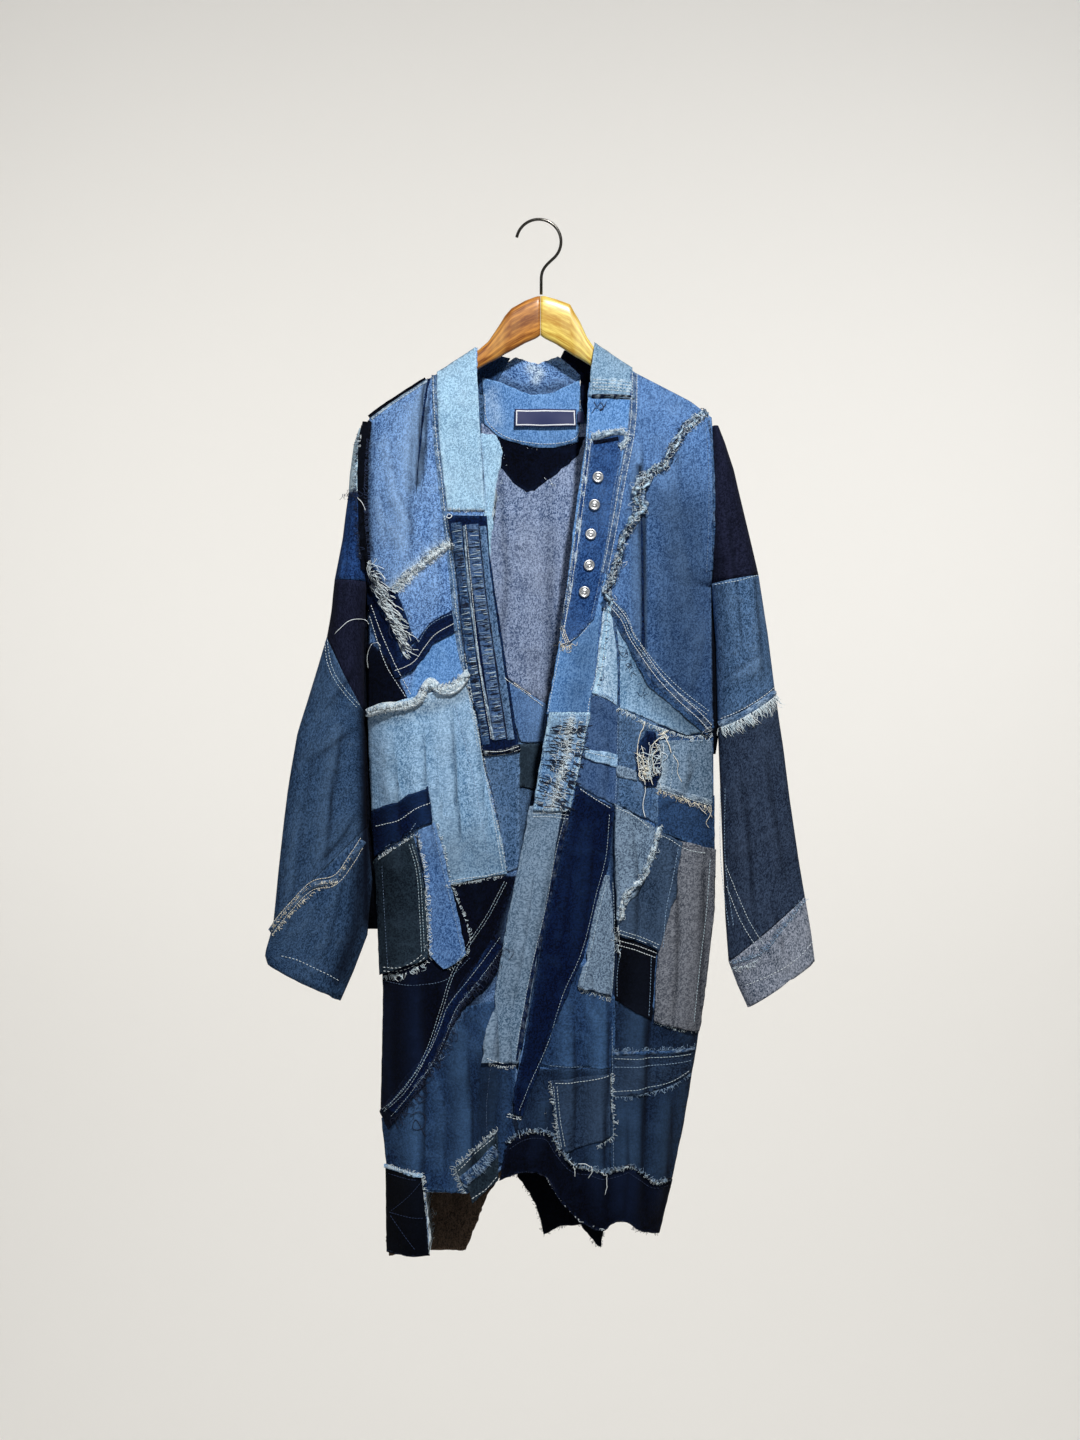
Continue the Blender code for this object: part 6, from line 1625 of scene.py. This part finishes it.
loose([-152, -1066, -142, -1060, -134, -1068, -138, -1080, -148, -1080, -146, -1070, -134, -1090], "navy",
    tone=0.3, radius=0.5)
loose([-242, -497, -234, -489, -226, -482, -215, -479, -207, -480, -203, -484])
loose([-204, -537, -205, -524, -203, -514, -199, -508, -192, -507, -188, -511])
loose([-110, -358, -106, -361, -103, -358, -107, -355, -110, -359], radius=0.6)
loose([-215, -335, -210, -342, -206, -352])

# %% Frays of the right side
for turn in (90, -90):
    fray(rope, 7, turn, 2.6, 0.3, 1.0, wild=60, rise=3.5, curl=0.8, lift=1.0)
    fray(rope, 6, turn, 2.2, 0.0, 1.0, "navy", wild=60, rise=3.0, curl=0.8, lift=1.0)
fray([62, -262, 82, -259, 101, -256], 5, -90, 0.6, 0.4, 1.0, rise=2)
fray([98, -256, 104, -266, 96, -278], 6, -60, 0.6, 0.4, 1.0, rise=2)
fray([59, -262, 50, -336, 42, -395, 36, -440, 26, -500], 4, 90, 1.4, 0.3, 1.0, "blue")
fray([24, -506, 32, -512, 40, -508], 6, 90, 0.5, 0.3, 1.0, "cream")
fringe = [215, -608, 228, -603, 240, -597, 262, -584, 284, -569]
fray(fringe, 15, 90, 0.42, 0.25, 1.0, wild=14, curl=0.2, radius=0.33)
fray([100, -508, 112, -540, 130, -570], 12, 60, 4.0, 0.3, 1.0, "navy", wild=30, radius=0.3, rise=0.3,
    curl=0.6)
fray([82, -476, 76, -520, 68, -566], 9, 60, 5.0, 0.0, 0.5, "blue", wild=16, radius=0.4, rise=0.4, curl=0.3,
    root=-3)
fray([6, -304, 13, -309, 20, -314], 6, 80, 0.8, 0.6, 1.0, wild=40, rise=1.5)
fray([64, -568, 80, -570, 92, -577], 4, 90, 0.8, 0.4, 1.0, "blue")
fray([94, -584, 112, -594, 125, -601, 150, -610, 176, -618, 200, -616], 6, 90, 0.7, 0.2, 1.0, rise=1.5)
fray([206, -608, 206, -618], 12, 60, 0.7, 0.6, 1.0, rise=2)
fray([142, -628, 144, -650, 140, -676], 11, 90, 1.3, 0.4, 1.0, wild=50, rise=3.0, curl=0.8, radius=0.36)
fray([118, -634, 116, -650, 120, -668], 9, -80, 2.0, 0.3, 1.0, wild=50, rise=2.5, curl=0.8)
for middle, wide, tall, count in (((129, -648), 12, 23, 13), ((125, -658), 7, 12, 7), ((148, -618), 5, 5, 4)):
    for k in range(count):
        ends = chance.uniform(0, 2 * math.pi) + np.array([0, chance.uniform(1.6, 4.4)])
        share = np.linspace(0, 1, 7)[:, None]
        span = np.stack([wide * np.cos(ends), tall * np.sin(ends)], -1)
        line = np.array(middle) + span[:1] * (1 - share) + span[1:] * share + chance.normal(0, 2.2, (7, 2))
        loose(line, "white" if k % 3 else "cream", 0.5, chance.uniform(0.4, 1.0), 1.4 + 0.2 * k)
loose([124, -601, 119, -616, 116, -634, 117, -650, 119, -666], "cream", radius=0.6, lift=1.8)
loose([132, -630, 140, -622, 147, -618, 152, -626, 156, -638], "cream", radius=0.6, lift=1.8)
loose([121, -664, 124, -682, 122, -700, 125, -714], radius=0.6, lift=1.6)
loose([158, -640, 164, -650, 163, -660, 168, -672], "cream", radius=0.35)
fray([140, -681, 165, -690, 186, -697, 205, -703], 7, 90, 0.9, 0.3, 1.0, "cream")
for path in ([186, -698, 192, -706, 199, -712], [204, -700, 203, -712, 198, -722, 202, -728],
               [196, -700, 201, -708, 206, -716], [168, -688, 174, -694, 178, -702]):
    loose(path, "cream", radius=0.45, lift=1.4)
fray(cord, 5, 90, 1.4, 0.3, 1.0, wild=50, rise=2.0, curl=0.6)
fray(cord, 5, -90, 1.6, 0.2, 1.0, wild=50, rise=2.0, curl=0.6)
fray([93, -838, 92, -856, 94, -872], 10, 20, 1.2, 0.3, 1.0, wild=30)
fray([47, -914, 66, -920, 86, -927], 5, 90, 1.0, 0.2, 0.9)
fray([136, -955, 160, -963, 188, -972], 3, 90, 1.4, 0.2, 0.7)
fray([85, -990, 110, -988, 136, -989, 186, -990], 5, -90, 1.2, 0.4, 1.0, "blue")
fray([88, -1043, 128, -1038, 154, -1033, 180, -1022], 6, 90, 1.2, 0.4, 1.0, "blue")
fray([14, -1023, 20, -1066, 25, -1110], 5, 90, 1.3, 0.4, 1.0, wild=30)
fray([84, -1016, 85, -1055, 85, -1091, 68, -1100], 5, -90, 1.0, 0.2, 0.8)
fray(HEM_TOP, 5, -90, 1.4, 0.4, 1.0, "blue", wild=40, rise=2)
fray(HEM_TOP, 4, 90, 2.6, 0.2, 0.9, wild=40, rise=1.5)
for path in ([34, -1117, 40, -1123, 42, -1130, 42, -1137], [72, -1131, 78, -1134, 80, -1146, 77, -1158],
               [46, -1122, 56, -1122, 63, -1128, 58, -1138]):
    loose(path, radius=0.5, lift=1.4)
fray(HEM_LOW, 4, 90, 0.9, 0.0, 0.7, "navy", wild=30, rise=0.5)
fray(HEM_LOW[4:12], 6, 90, 4.0, 0.4, 1.0, wild=30, rise=0.5, radius=0.4)
fray([-60, -1001, -46, -1006, -26, -1005], 4, 90, 0.8, 0.4, 1.0)
fray([-36, -1062, -22, -1067], 4, 90, 0.8, 0.4, 1.0)
gathers = [37, -598, 30, -650, 14, -702]
for root, turn in ((10, 90), (-10, -90), (0, 90), (0, -90)):
    fray(gathers, 15, turn, 2.2, 0.0, 0.4, "navy", wild=8, curl=0.1, radius=0.5, rise=0.6, root=root)
    fray(gathers, 9, turn, 3.0 if root else 1.0, 0.6, 1.0, wild=40, curl=0.5, rise=1.6, root=root)
fray([230, -892, 264, -878, 294, -844, 318, -816], 7, -90, 0.8, 0.2, 1.0, "blue")
fray([230, -896, 250, -890, 264, -880], 6, 90, 1.2, 0.4, 1.0)
fray([6, -1221, 26, -1212, 50, -1209, 73, -1236, 79, -1212], 5, 90, 0.9, 0.0, 0.5, "navy", side="back")
fray([-25, -1152, -3, -1186, 6, -1221], 5, 90, 1.0, 0.0, 0.6, "navy", side="back")
fray([-52, -183, -29, -166, -1, -173, 23, -164, 46, -182], 3, -90, 0.8, 0.6, 1.0, rise=0.4)
fray([-66, -241, -44, -259, -8, -268, 16, -269, 46, -262], 3, 90, 0.8, 0.6, 1.0, rise=0.4)
loose([65, -222, 69, -228, 73, -223, 76, -231, 72, -233, 79, -226], "navy", radius=0.5)
loose([62, -236, 68, -229, 74, -231, 80, -222], "navy", radius=0.45)


# %% Threads into meshes
def make_threads():
    for (use, kind), group in THREADS.items():
        if group:
            tubes(f"{use}_{kind}", [t.line for t in group], np.array([t.radius for t in group]), COTTON[kind],
                  f"{use}_{kind}", tones=[t.tone for t in group])
        print(use, kind, len(group))


make_threads()
